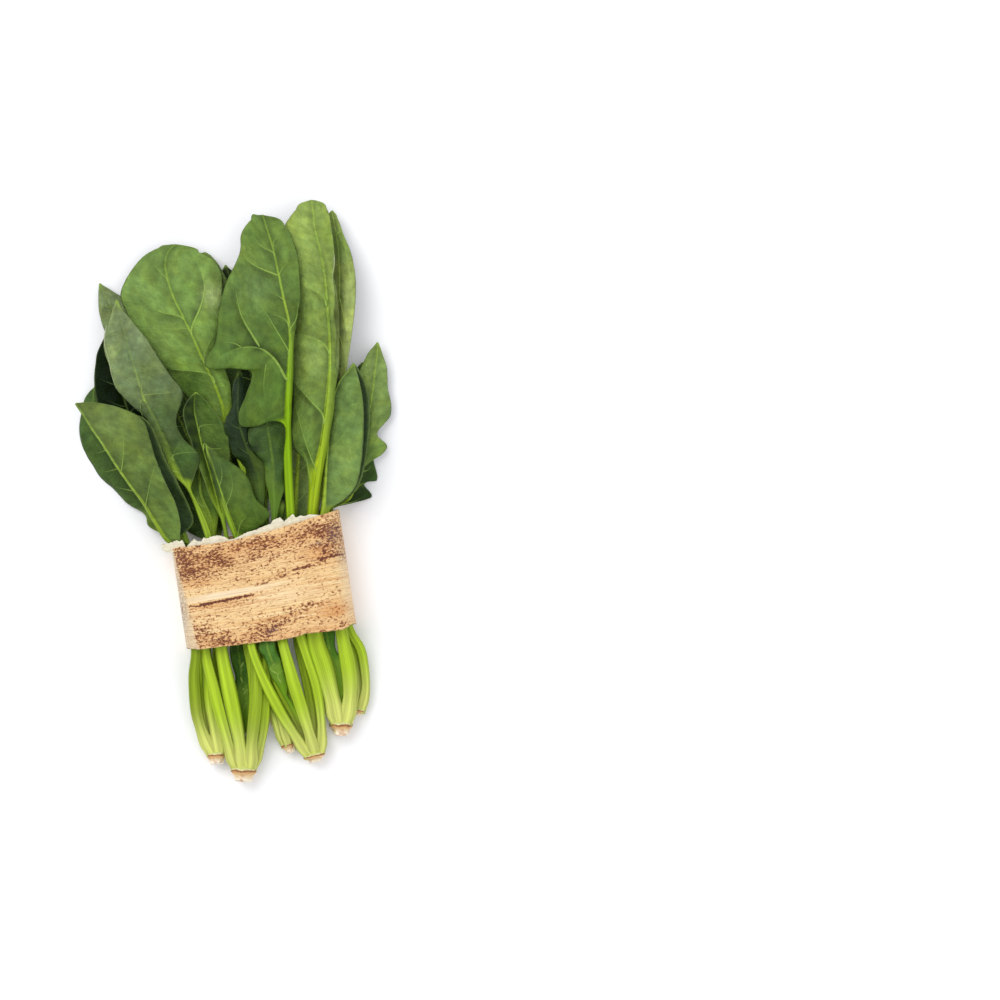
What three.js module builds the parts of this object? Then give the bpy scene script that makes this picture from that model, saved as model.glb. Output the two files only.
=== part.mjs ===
// A bunch of spinach lying on a table: seven plants cut with their root crowns on, held by a wrap of
// dried banana sheath. Millimetres, +X across the bunch, +Y towards the leaf tips, +Z up from the table.
import * as THREE from "three";

const clearance = 0.5; // least gap kept between two pieces
const crownGap = 0.45; // between a crown's face and the foot of each stalk
const stalkSteps = 10; // rings along a stalk
const stalkDepth = [0.8, 0.3]; // thickness over width, up to 5 mm wide and beyond that
const ribTip = 0.9; // thickness of the midrib at the leaf's tip
const bladeThickness = 0.8; // at the middle of each half
const endBulge = 0.12; // how far the middle of a cut end stands out
const wrap = {
  thickness: 1.2,
  height: 27,
  cornerRadius: 9,
  lowerEdge: [[-23.5, -78.6], [61, -66]], // outer corners seen from above, left then right
  upperEdge: [[-31, -27.6], [52.4, -8.6]],
  lap: 26, // how far the ends of the strip pass each other underneath
  sections: 4,
};
const ply = { thickness: 0.5, depth: 9, reach: 3.8, tooth: 0.9, flare: 6, from: 0.02, to: 0.88, steps: 42 };

// Each crown: where its face meets the stalks, the way the plant leans, and its cut root stub.
const crowns = {
  a: { face: [-9.4, -130, 5.5], lean: [-0.08, 1], radius: 5.2, stub: [4, 6.2] },
  b: { face: [4.6, -137.6, 6.8], lean: [0.02, 1], radius: 6.5, stub: [4.9, 7.6] },
  c: { face: [26.6, -125, 4.2], lean: [-0.36, 1], radius: 3.9, stub: [2.8, 5.8] },
  d: { face: [18.2, -109.4, 3.5], lean: [-0.2, 1], radius: 3.2, stub: [2.2, 7.8] },
  e: { face: [39.8, -130.8, 6], lean: [-0.24, 1], radius: 5.7, stub: [3.6, 4.6] },
  f: { face: [53.4, -114.8, 6.2], lean: [0, 1], radius: 5.9, stub: [4.3, 7.2] },
  g: { face: [62, -108.6, 3.8], lean: [0.12, 1], radius: 3.5, stub: [1.6, 3.6] },
};

// The leaves in the order in which they lie, lowest first. slot is where the stalk's foot sits on its
// crown (across, up) and foot its width there; stalk is the route from the crown to the blade; every
// blade row, from the base to the tip, is left margin, midrib and right margin. A folded leaf keeps
// its cross-section; camber lifts the middle of each half.
const leaves = [
  {
    name: "leaf_d2", crown: "d", slot: [1.65, 0], foot: 2.9, width: 4.6, camber: 1.2,
    stalk: [[19.5, -95, 3.6], [20, -80, 5], [26, -50, 6], [36, -25, 5]],
    blade: [
      [[43.5, -6, 2.6], [45, -6, 2.6], [46.5, -6, 2.6]],
      [[42, 12, 0.6], [52, 14, 2.6], [61, 11, 0.6]],
      [[44, 32, 0.6], [57, 34, 2.6], [68, 28, 0.6]],
      [[50, 50, 1.6], [61, 51, 2.6], [69, 46, 0.6]],
      [[58, 60, 1.6], [63.5, 60, 2.6], [67, 57, 1.6]],
      [[63.4, 65, 2.6], [64, 65.6, 2.6], [64.6, 65, 2.6]],
    ],
  },
  {
    name: "leaf_d1", crown: "d", slot: [-1.65, 0], foot: 2.9, width: 4.8, camber: 1.2,
    stalk: [[15, -95, 3.4], [10.5, -80, 4.8], [6, -50, 5.6], [8, -25, 5]],
    blade: [
      [[6.5, -12, 2.8], [8, -12, 2.8], [9.5, -12, 2.8]],
      [[-4, 5, 0.8], [9, 6, 2.2], [23, 5, 0.8]],
      [[-9, 28, 0.5], [8, 30, 2.2], [27, 28, 0.5]],
      [[-6, 50, 0.5], [8, 52, 2.2], [25, 49, 0.5]],
      [[1, 64, 0.8], [10, 65, 1.8], [19, 63, 0.8]],
      [[9.4, 72, 1.8], [10, 72.6, 1.8], [10.6, 72, 1.8]],
    ],
  },
  {
    name: "leaf_c1", crown: "c", slot: [-2.5, 0], foot: 2.9, width: 5, camber: 1.4,
    stalk: [[18.6, -108, 4], [11.5, -92, 4.2], [2, -72, 5.6], [-6, -45, 6], [-8.6, -36, 5.6]],
    blade: [
      [[-11, -27, 4.6], [-9.5, -27, 4.6], [-8, -27, 4.6]],
      [[-27, -17, 2.4], [-12, -16, 3.8], [-6, -17, 3.6]],
      [[-31, -2, 1.2], [-13.4, -1, 3.4], [-5, -2, 2.2]],
      [[-34, 11, 0.8], [-16, 12, 3.2], [-1, 12, 1.2]],
      [[-42, 27, 0.5], [-25, 31, 3.2], [-9, 35, 1.2]],
      [[-51, 47, 0.5], [-34, 52, 3.2], [-17, 57, 1.2]],
      [[-51, 66, 0.8], [-40, 70, 2.8], [-29, 74, 1.2]],
      [[-44.8, 83, 1.8], [-44, 83.6, 1.8], [-43.2, 83, 1.8]],
    ],
  },
  {
    name: "leaf_c3", crown: "c", slot: [2.5, 0], foot: 2.9, width: 5, camber: 1.4,
    stalk: [[27.4, -108, 4], [26, -92, 5.6], [24, -72, 7], [19.5, -45, 8.4], [15.5, -15, 8]],
    blade: [
      [[13.5, 8, 5], [15, 8, 5], [16.5, 8, 5]],
      [[1, 29, 2], [13, 31, 4], [24, 32, 2]],
      [[-6, 52, 1.4], [9, 54, 3.6], [24, 54, 1.4]],
      [[-10, 75, 1], [4, 77, 3], [19, 78, 1]],
      [[-10.5, 94, 1], [0, 97, 3], [11, 98, 1]],
      [[-8, 108, 1.6], [-3, 109, 3], [3, 107, 2]],
      [[-5.4, 113.8, 3], [-4.8, 114.4, 3], [-4.2, 113.8, 3]],
    ],
  },
  {
    name: "leaf_c2", crown: "c", slot: [0, 2.9], foot: 2.9, width: 5, camber: 1.6,
    stalk: [[22, -108, 7.2], [17.5, -92, 8.4], [13, -72, 9.4], [6, -45, 10], [0, -15, 9.4]],
    blade: [
      [[-4.5, 18, 5.6], [-3, 18, 5.6], [-1.5, 18, 5.6]],
      [[-21, 40, 2.6], [-8, 42, 5], [3, 44, 3.6]],
      [[-32, 61, 1.6], [-14, 64, 4.6], [3, 67, 3.6]],
      [[-37, 84, 1], [-18, 86, 4.2], [-1, 88, 2.6]],
      [[-34, 103, 1], [-17.5, 104, 4], [-2.8, 104, 2.6]],
      [[-25, 116, 1.6], [-15.5, 117, 3.6], [-7.6, 113.6, 2.6]],
      [[-16.4, 120.4, 3.6], [-14.8, 120.8, 3.6], [-12, 119, 3.6]],
    ],
  },
  {
    name: "leaf_g2", crown: "g", slot: [-1.75, 0], foot: 3.1, width: 4.2, camber: 0.8,
    stalk: [[61.6, -96, 4.4], [60, -84, 5.4], [57.4, -70, 6.4], [53, -45, 6.6], [48, -25, 6]],
    blade: [
      [[45.6, -9, 3], [47, -9, 3], [48.4, -9, 3]],
      [[51, -3, 2.2], [57, -3.6, 2.6], [68.6, -1.8, 0.6]],
      [[54, 3, 2.2], [60, 3, 3.2], [65, 4.2, 2.2]],
      [[55, 11, 2.2], [62, 9.6, 3.6], [71.2, 6, 1.2]],
      [[57, 21, 2.6], [63.4, 19, 3.6], [69.6, 15, 1.6]],
      [[60, 31, 2.6], [64.4, 29, 3.6], [68, 26, 2.2]],
      [[63.5, 38, 3], [64.2, 38.4, 3.2], [65, 38, 3]],
    ],
  },
  {
    name: "leaf_f3", crown: "f", slot: [-3.7, -1.7], foot: 3.4, width: 4.6, camber: 1.4,
    stalk: [[46.2, -104, 5.2], [42.6, -92, 6.2], [39.4, -78, 7.4], [37, -50, 8.6], [39, -20, 9]],
    blade: [
      [[43, 14, 8], [44.6, 14, 8], [46.2, 14, 8]],
      [[42, 38, 6], [49.6, 38, 11], [55.4, 40, 14]],
      [[41, 60, 5], [51.4, 60, 13], [56.6, 62, 17]],
      [[40, 80, 4], [52, 80, 13], [59.2, 80, 18]],
      [[40, 97, 4], [52.6, 97, 13], [60.9, 97, 18]],
      [[41, 110, 4], [52.6, 110, 12], [60.6, 110, 16]],
      [[43, 123, 4], [52, 122, 10], [58.4, 120, 13]],
      [[45, 132, 4], [50.6, 132, 8], [54.6, 130, 10]],
      [[46.4, 138, 5], [49.2, 138.4, 7], [51.6, 137.6, 8]],
      [[48.2, 141, 6.4], [48.8, 141.4, 6.4], [49.4, 141, 6.4]],
    ],
  },
  {
    name: "leaf_a4", crown: "a", slot: [-2.2, -1.9], foot: 3.6, width: 5, camber: 1.2,
    stalk: [
      [-15.2, -116, 5], [-17, -98, 5], [-17.4, -79, 5.6],
      [-21, -50, 6.4], [-27, -20, 7], [-33, 10, 7],
    ],
    blade: [
      [[-41, 36, 3.6], [-40, 36, 3.6], [-39, 36, 3.6]],
      [[-53, 55, 1.6], [-46.6, 57, 3.2], [-38, 60, 2.6]],
      [[-61, 70, 1.6], [-53, 73, 3.2], [-44, 78, 2.6]],
      [[-65.4, 81, 3.2], [-58, 84, 3], [-49, 90, 2.6]],
      [[-68.2, 91, 5.6], [-62.4, 93.4, 3.2], [-55, 97, 2.6]],
      [[-68.5, 99, 5.6], [-65.6, 100, 4.2], [-60.4, 100.6, 3.6]],
      [[-68.2, 104.4, 5.6], [-67.8, 105, 5.6], [-67, 104.6, 5.6]],
    ],
  },
  {
    name: "leaf_a3", crown: "a", slot: [2.2, -1.9], foot: 3.6, width: 4.6, camber: 1,
    stalk: [[-7.4, -116, 5], [-8.4, -98, 5.4], [-9.2, -79, 6.6], [-9.6, -52, 9], [-9.8, -32, 11]],
    blade: [
      [[-11.6, -21, 12], [-10.4, -21, 12], [-9, -21, 12]],
      [[-17, -10, 11.6], [-13, -10, 12], [-7.4, -9, 13]],
      [[-21.4, -1, 11], [-16.6, -1, 12], [-9, 0, 13]],
      [[-22.4, 7, 10.4], [-17.4, 7, 11.4], [-10, 8, 12.4]],
      [[-22, 15, 10], [-17.8, 15, 11], [-12, 16, 12]],
      [[-18.8, 21, 10], [-18.2, 21.4, 10], [-17.4, 21, 10]],
    ],
  },
  {
    name: "leaf_a2", crown: "a", slot: [1.7, 1.9], foot: 3.8, width: 5.4, camber: 1.4,
    stalk: [[-10.8, -114, 9.4], [-12.6, -98, 9.4], [-14, -79, 10.6], [-20, -50, 11], [-24.6, -34, 10]],
    blade: [
      [[-30.6, -24.6, 8], [-29.2, -24, 8], [-27.8, -23.4, 8]],
      [[-43.6, -16.4, 4], [-38.6, -15, 6.4], [-36.2, -15, 7]],
      [[-45, -12, 3.6], [-41.4, -10.4, 6], [-37, -8, 7]],
      [[-53, -6, 2], [-47.8, -2, 5.4], [-42, 2, 7]],
      [[-62, 2, 1], [-55, 8, 5], [-47, 13, 6]],
      [[-69, 9.4, 0.6], [-61, 18, 4.4], [-51, 24, 5.4]],
      [[-75.4, 20, 0.6], [-66, 28, 4], [-55, 34, 5]],
      [[-78.4, 31, 0.6], [-69, 37, 3.6], [-59, 42, 4.4]],
      [[-77.4, 42, 1], [-71, 45, 3.6], [-64, 48, 4]],
      [[-73.4, 50.4, 2], [-70.6, 51.2, 3.6], [-67.4, 52, 4]],
      [[-70.6, 53, 3.6], [-70, 53.4, 3.6], [-69.4, 53, 3.6]],
    ],
  },
  {
    name: "leaf_e2", crown: "e", slot: [3.5, -2], foot: 2.6, width: 4.6, camber: 1.4,
    stalk: [
      [39.6, -118, 5.6], [38.2, -105, 8], [35.4, -91, 10],
      [32, -77, 11.4], [29, -50, 12], [28.6, -32, 12.4],
    ],
    blade: [
      [[27.4, -20, 11], [28.9, -20, 11], [30.4, -20, 11]],
      [[22, -8, 9], [30.4, -8, 10.6], [39.4, -9, 9]],
      [[20.4, 8, 7], [31.4, 9, 9.4], [41.6, 8, 7]],
      [[20, 27, 6], [33, 28, 8], [43, 28, 6]],
      [[20, 50, 5], [36, 52, 7], [51, 50, 6]],
      [[21, 75, 4], [38, 77, 6], [53, 75, 5]],
      [[27, 98, 4], [40, 100, 5.6], [52, 98, 4]],
      [[34, 114, 4], [41, 116, 5], [47.6, 114, 4]],
      [[40.4, 122, 5], [41.2, 122.6, 5], [42, 122, 5]],
    ],
  },
  {
    name: "leaf_g1", crown: "g", slot: [1.75, 0.2], foot: 3.1, width: 4.4, camber: 1.4,
    stalk: [
      [65.4, -100, 5.2], [65.4, -91, 6.6], [63.2, -79, 8.6],
      [59, -66, 11], [54.6, -45, 12.4], [50.4, -22, 13],
    ],
    blade: [
      [[47, -7, 9.6], [48.4, -7, 9.6], [49.8, -7, 9.6]],
      [[53, 8, 7.6], [57, 8, 8.6], [62, 10, 7.4]],
      [[58, 20, 6.6], [63, 20, 8], [76.2, 22.8, 4]],
      [[59, 28, 6.6], [65, 28.4, 8], [71.2, 29, 6]],
      [[60, 38, 6.6], [67, 38, 8.4], [78.4, 38.6, 5]],
      [[61, 50, 6.6], [69, 50, 8.4], [77.4, 50, 5.6]],
      [[62.4, 61, 6.4], [70.4, 61, 8], [76.2, 61, 6]],
      [[67, 70, 6], [71.4, 69, 7.4], [74.4, 69, 6.4]],
      [[71, 75, 7], [71.6, 75.4, 7], [72.2, 75, 7]],
    ],
  },
  {
    name: "leaf_b5", crown: "b", slot: [4.9, -1.9], foot: 3.8, width: 5.2, camber: 1.8,
    stalk: [
      [13.4, -124, 6.4], [15.4, -110, 8], [16, -95, 9.4], [16.2, -78, 10.6],
      [15, -50, 12], [13, -20, 14], [6, 8, 15.4],
    ],
    blade: [
      [[-4.9, 34, 15], [-3.4, 34, 15], [-2, 34, 15]],
      [[-20, 45, 11], [-6, 44, 14.4], [-1, 44, 14.4]],
      [[-31, 57, 10.6], [-10, 55, 15], [-2, 54, 14]],
      [[-38, 67, 13], [-15, 65.5, 16.4], [-5, 64, 14]],
      [[-48, 80, 11.4], [-20.6, 78, 16.6], [-8, 76, 14]],
      [[-55, 91, 9.4], [-26, 89, 15.6], [-6.6, 88, 13]],
      [[-56.8, 100, 8], [-30.4, 98, 14.4], [-5.6, 100, 11]],
      [[-53.4, 109, 8], [-33.4, 107, 12.4], [-6, 109.4, 10]],
      [[-46, 118.4, 9], [-34.6, 114, 10.6], [-11, 117, 9]],
      [[-38, 122.6, 10], [-33.4, 120, 10], [-18, 120.6, 9]],
      [[-32, 124.2, 10.4], [-29.6, 124.4, 10.4], [-26, 124, 10]],
    ],
  },
  {
    name: "leaf_b1", crown: "b", slot: [-4.8, 0.2], foot: 4.1, width: 5.6, camber: 1,
    stalk: [
      [-2.6, -127, 10.4], [-5.9, -115, 13.6], [-8.9, -103, 15], [-11.7, -91, 16],
      [-14.4, -79, 17], [-18.4, -50, 17.6], [-26, -18, 14],
    ],
    blade: [
      [[-38.6, 3, 8], [-37.6, 3, 8], [-36.6, 3, 8]],
      [[-57, 24, 5], [-47, 25, 6], [-40, 26, 5.6]],
      [[-68, 42, 4], [-54, 42, 4.6], [-44, 42, 5]],
      [[-70.6, 56, 3.6], [-58, 57, 4.6], [-46, 58, 5]],
      [[-69.4, 69, 3.6], [-60, 70, 4.6], [-50, 70, 5]],
      [[-65.6, 78, 4], [-61.6, 78.4, 4.6], [-56, 78, 5]],
      [[-62.8, 82, 4.6], [-62, 82.4, 4.6], [-61.2, 82, 4.6]],
    ],
  },
  {
    name: "young_leaf_b", crown: "b", slot: [-1.2, -2.2], foot: 2.2, width: 2.6, camber: 0.6,
    stalk: [[3.8, -126, 6.4]],
    blade: [
      [[3.2, -121, 7.4], [4.2, -121, 7.4], [5.2, -121, 7.4]],
      [[2.4, -114, 8.2], [5, -114, 8.4], [7.8, -114, 8.4]],
      [[1.6, -106, 9], [4.8, -106, 9.2], [8.2, -106, 9.2]],
      [[0.4, -98, 9.6], [4.2, -98, 9.6], [8, -98, 10]],
      [[-0.6, -90, 10], [3.4, -90, 10], [7.6, -90, 10.6]],
      [[-1.8, -79, 10.6], [2, -79, 10.8], [6.4, -79, 11]],
      [[-0.6, -70, 11], [1, -70, 11], [3, -70, 11]],
      [[0.2, -65, 11], [0.6, -64.6, 11], [1, -65, 11]],
    ],
  },
  {
    name: "leaf_b3", crown: "b", slot: [1.5, -2.2], foot: 2.6, width: 4.2, camber: -0.6, folded: true,
    stalk: [
      [7.4, -122, 7.4], [9.6, -106, 10.4], [8.6, -90, 12.4],
      [5.6, -74, 14], [1, -45, 16], [-2.6, -28, 17],
    ],
    blade: [
      [[-6.4, -14, 17.4], [-5.2, -14, 17], [-4, -14, 17.4]],
      [[-12, -2, 19.4], [-8.6, -2, 16.8], [-4, -2, 18.4]],
      [[-16, 10, 20.6], [-12, 10, 16.4], [-3, 10, 19]],
      [[-20, 22, 21], [-15.6, 22, 16], [-2, 20, 19.4]],
      [[-23.6, 33, 21], [-18.2, 33, 15.6], [-3, 30, 20]],
      [[-25.2, 41, 20.4], [-19.8, 41.4, 15.6], [-9, 40, 20]],
      [[-21.8, 47.4, 19], [-19.6, 48, 16.4], [-14.4, 46.6, 19]],
      [[-19.2, 50, 18], [-18.8, 50.4, 18], [-18.2, 50, 18]],
    ],
  },
  {
    name: "leaf_b4", crown: "b", slot: [3.7, 1.9], foot: 3.9, width: 6.2, camber: 1,
    stalk: [
      [9, -124, 10.4], [11, -108, 11.4], [11.4, -92, 12.4],
      [10.4, -77, 12.4], [9.6, -50, 13.4], [10.8, -28, 15],
    ],
    blade: [
      [[11.5, -13, 18], [13, -13, 18], [14.5, -13, 18]],
      [[9, 0, 17.4], [12.8, 0, 18], [16, 0, 18]],
      [[5, 11, 17], [11, 11, 18], [16, 12, 18]],
      [[-1, 22, 17], [7, 22, 19], [11.6, 20, 18]],
      [[-4.6, 31, 18], [3.6, 32, 20], [9.8, 29, 19]],
      [[-1.6, 41, 19], [2, 43, 19.6], [6.4, 40, 18.4]],
      [[-1, 51, 18], [2.4, 53, 18.4], [6, 50, 17]],
      [[1.8, 60, 16], [2.6, 61, 16], [4, 60, 16]],
    ],
  },
  {
    name: "leaf_e4", crown: "e", slot: [-2.7, -2], foot: 2.6, width: 4, camber: 0.6,
    stalk: [
      [31.8, -116, 6.4], [25.6, -104, 9.4], [20.4, -92, 11.4],
      [17.4, -78, 13], [18.6, -50, 15], [22, -28, 17],
    ],
    blade: [
      [[22, -15, 18], [23.2, -15, 18], [24.4, -15, 18]],
      [[19.6, -8, 20.4], [22.6, -8, 20.4], [25.6, -8.4, 20]],
      [[21, -1, 20.4], [23.6, -1, 20.4], [26, -2, 20]],
      [[20, 4, 20], [23, 5, 20], [25.6, 4, 20]],
      [[21.4, 9, 19.6], [22, 9.4, 19.6], [22.8, 9, 19.6]],
    ],
  },
  {
    name: "young_leaf_e", crown: "e", slot: [0, -2.2], foot: 1.9, width: 2.8, camber: 0.8,
    stalk: [[34, -116, 8.4], [28.6, -106, 10.6]],
    blade: [
      [[24.6, -101, 12], [25.6, -101, 12], [26.6, -101, 12]],
      [[21, -95, 12.6], [24, -95, 12.8], [27, -94, 12.6]],
      [[17, -88, 13.4], [20.6, -87, 13.8], [24, -86, 13.6]],
      [[13.6, -79, 14.6], [17.4, -78.6, 15], [21.6, -77, 14.6]],
      [[13.6, -71, 15], [16, -71, 15], [18.6, -71, 15]],
      [[14, -65, 15], [14.6, -64.6, 15], [15.2, -65, 15]],
    ],
  },
  {
    name: "leaf_e3", crown: "e", slot: [0.3, 1.8], foot: 3.4, width: 6, camber: 1,
    stalk: [
      [36.4, -116, 10], [33, -105, 12], [29.8, -94, 14],
      [26.6, -82, 16], [24.4, -74, 17], [21.6, -48, 17.6],
      [20, -26, 18.4],
    ],
    blade: [
      [[19, -12, 19], [20.6, -12, 19], [22, -12, 19]],
      [[16.6, 3, 18.4], [20.6, 3, 19], [25.6, 3, 18.6]],
      [[15, 13, 18], [20, 13, 19], [27.4, 13, 18.4]],
      [[9.4, 21, 18], [18.6, 23, 20], [27.4, 23, 18.4]],
      [[7.2, 31, 18.6], [17, 33, 20], [27, 33, 18.4]],
      [[9, 40, 18], [16, 42, 19], [25, 41, 18]],
      [[13.6, 49, 17], [14.4, 49.4, 17], [16, 49, 17]],
    ],
  },
  {
    name: "young_leaf_f", crown: "f", slot: [0.6, -1.9], foot: 2.4, width: 2.6, camber: 0.6,
    stalk: [[53.6, -108, 7.2]],
    blade: [
      [[52, -103, 8.4], [53, -103, 8.4], [54, -103, 8.4]],
      [[50.2, -97, 9.4], [52.6, -97, 9.6], [55.4, -97, 9.6]],
      [[48.8, -89, 11], [51.2, -89, 11], [54.4, -89, 11.2]],
      [[45, -78, 13], [47.6, -78, 13], [51, -77.6, 13]],
      [[43.6, -70, 14], [46.2, -70, 14], [49.8, -69.6, 14]],
      [[43.8, -63, 14], [45.4, -63, 14], [47.4, -63, 14]],
      [[44.4, -58, 14], [44.8, -57.6, 14], [45.4, -58, 14]],
    ],
  },
  {
    name: "leaf_f2", crown: "f", slot: [2.9, 1.8], foot: 4.8, width: 6.8, camber: 1.2, folded: true,
    stalk: [
      [57.8, -103, 10.4], [57.8, -93, 13], [56.2, -82, 15.6],
      [53.6, -69, 17.6], [49.6, -46, 18.4], [46, -26, 18.4],
    ],
    blade: [
      [[43, -16, 18], [44.6, -16, 18], [46.2, -16, 18]],
      [[45, -12.2, 15.8], [44.4, -12.2, 17.8], [47.4, -12.4, 18.6]],
      [[48.6, -8, 15.6], [44.8, -8, 17.8], [48.4, -8.4, 19]],
      [[58.6, -1.6, 14], [45, -2, 17.4], [56.2, -2.6, 19.6]],
      [[63, 4.6, 13], [45.6, 7, 17.6], [61, 3, 20.4]],
      [[65.8, 15, 13], [46.4, 18, 18], [63.8, 14, 21.4]],
      [[67.2, 25, 13], [47.4, 29, 18], [64.8, 25, 22]],
      [[68.1, 36, 13], [48.6, 39, 18], [65.2, 37, 22]],
      [[67.9, 46, 13], [50, 48, 17.6], [64.6, 47, 21.4]],
      [[66, 54.6, 13.4], [53, 55.4, 17], [63.2, 54.6, 20]],
      [[62.8, 61, 14.6], [57.4, 61, 16.6], [61.4, 60.6, 18.4]],
      [[60.4, 64.5, 16.4], [60, 64.5, 16.7], [60.4, 64.5, 17]],
    ],
  },
  {
    name: "leaf_b2", crown: "b", slot: [-0.6, 1.9], foot: 4.2, width: 7.4, camber: 1.4,
    stalk: [
      [2.2, -122, 13], [-0.6, -107, 15.4], [-3.6, -92, 17.4],
      [-6.2, -78, 19], [-9.4, -50, 20.4], [-12.4, -22, 21],
    ],
    blade: [
      [[-23.4, 2, 21], [-22.2, 2, 21], [-21, 2, 21]],
      [[-30, 9, 20], [-26.4, 9, 21], [-19.4, 8, 21]],
      [[-35, 18, 19], [-30.6, 18, 21], [-16.8, 17.6, 20]],
      [[-39, 27, 18.4], [-34.4, 27, 21], [-25.4, 28, 20.6]],
      [[-43, 35, 18], [-38.8, 36, 21], [-28.4, 37, 20.6]],
      [[-50, 43, 18], [-43.6, 45, 21], [-25, 50, 20]],
      [[-58, 51, 19], [-47, 54, 20], [-31, 58, 20]],
      [[-60.8, 60, 21], [-50, 64, 19], [-37, 67, 20]],
      [[-64.8, 73, 21], [-53.4, 75, 17], [-44.4, 78, 18]],
      [[-63.2, 82, 20], [-56, 85, 16], [-51, 86, 16.4]],
      [[-60.6, 91, 18], [-58, 92, 16], [-56, 91.6, 16]],
      [[-59, 96, 16.4], [-58.4, 96.4, 16.4], [-57.8, 96, 16.4]],
    ],
  },
  {
    name: "leaf_e1", crown: "e", slot: [-3.5, 1.5], foot: 3.7, width: 5.2, camber: 1.6,
    stalk: [
      [29.6, -120.6, 11], [23.4, -110, 14], [18, -99, 16],
      [13, -88, 17.4], [8.8, -76, 18.4], [5, -50, 19],
      [3, -32, 19.4],
    ],
    blade: [
      [[0.2, -23, 20], [1.6, -23, 20], [3, -23, 20]],
      [[-2.6, -16, 20], [-0.6, -16, 20.8], [12, -18, 20]],
      [[-4.8, -10, 20], [-2.8, -10, 21.4], [18.4, -11, 20]],
      [[-7.2, -3, 21.4], [-5, -3, 23], [11.6, -2.8, 22]],
      [[-9.2, 3, 21], [-7, 3, 23], [9.2, 4, 22.4]],
      [[-10.8, 9, 21], [-9, 9, 22.6], [4.6, 10.6, 22.4]],
      [[-12.2, 15, 21], [-10.8, 15, 22], [-1.4, 15.6, 22]],
      [[-13.4, 20, 21], [-12.6, 20, 21.6], [-8, 19.8, 21.6]],
      [[-14, 23.2, 21], [-13.6, 23.4, 21], [-13.2, 23.2, 21]],
    ],
  },
  {
    name: "leaf_a1", crown: "a", slot: [-3, 1.9], foot: 4.1, width: 5.6, camber: 1.4, folded: true,
    stalk: [
      [-16.8, -119, 8.6], [-19.2, -108, 9.4], [-19.9, -95, 10.6],
      [-20, -80, 12.4], [-21.4, -58, 14], [-24.4, -38, 15],
    ],
    blade: [
      [[-27.8, -29, 15], [-26.2, -28.6, 15], [-24.6, -28.2, 15]],
      [[-28.8, -26.2, 13.4], [-29.2, -26.6, 15.4], [-25.4, -26.4, 16.6]],
      [[-27, -23, 12.4], [-32.4, -24, 15], [-26, -24, 17.4]],
      [[-20, -15, 12], [-39, -15, 14.6], [-26.2, -15, 20]],
      [[-23, -5, 12], [-45, -5, 14], [-28.8, -5, 20.6]],
      [[-27.6, 5, 12], [-51.6, 4, 13.4], [-33.2, 5, 21]],
      [[-33.4, 16, 11.6], [-58.6, 14, 13], [-37.8, 16, 20.6]],
      [[-37.8, 27, 11.4], [-65, 24, 12.4], [-41.2, 27, 19.4]],
      [[-43, 36, 11.4], [-70.6, 32, 12], [-45, 36.4, 17]],
      [[-56.6, 41.4, 11.4], [-75, 38.8, 12], [-57.6, 42.8, 15]],
      [[-69, 44, 11.6], [-77.8, 42.8, 12], [-70, 45.2, 13.4]],
      [[-78.4, 44.4, 12], [-79, 44.6, 12], [-78.4, 44.8, 12.4]],
    ],
  },
  {
    name: "leaf_f1", crown: "f", slot: [-2.6, 2], foot: 4.9, width: 9.6, camber: 1.6,
    stalk: [
      [49.4, -106, 10], [46.8, -96, 12.4], [43.8, -85, 14.6],
      [40.2, -72, 16.4], [39.4, -48, 17.4], [39, -28, 18.4],
    ],
    blade: [
      [[36.6, -12, 19.4], [39.2, -12, 19.4], [41.8, -12, 19.4]],
      [[37.4, 4, 20], [41, 5, 21.4], [43.6, 5, 21]],
      [[35, 16.6, 19.4], [43, 17, 22.4], [45.8, 17, 21.4]],
      [[30.4, 21, 19], [44.8, 27, 23.4], [47.8, 27, 22]],
      [[29, 35, 19], [46.2, 38, 24.4], [49.6, 38, 22.4]],
      [[29, 52, 18.6], [47.6, 51, 24.4], [51, 51, 22.4]],
      [[29, 68, 18], [48.4, 65, 24], [51.4, 65, 23]],
      [[29, 84, 17], [48, 80, 23], [51, 80, 23]],
      [[28.8, 98, 16], [46.9, 94, 22], [50.4, 94, 23]],
      [[27.8, 112, 15], [45.6, 108, 20.4], [50.2, 108, 21.4]],
      [[25.4, 125, 14], [43.2, 121, 18.4], [50.2, 121, 18]],
      [[25.6, 134, 13], [40.8, 131, 16.6], [49, 132, 15]],
      [[31, 141.6, 13.4], [39.6, 139.8, 15], [46.4, 142, 13.6]],
      [[36.8, 146, 13.6], [38.8, 146.4, 13.6], [40.8, 146.2, 13.6]],
    ],
  },
  {
    name: "leaf_e5", crown: "e", slot: [4, 1.3], foot: 3.6, width: 4.6, camber: 1.6,
    stalk: [
      [43.6, -120, 9.4], [43, -109, 11.4], [40.8, -96, 14],
      [37.2, -84, 16], [33, -72, 17.4], [30, -48, 18.4],
      [28.6, -12, 20.4], [27.4, 12, 23.6],
    ],
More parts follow.
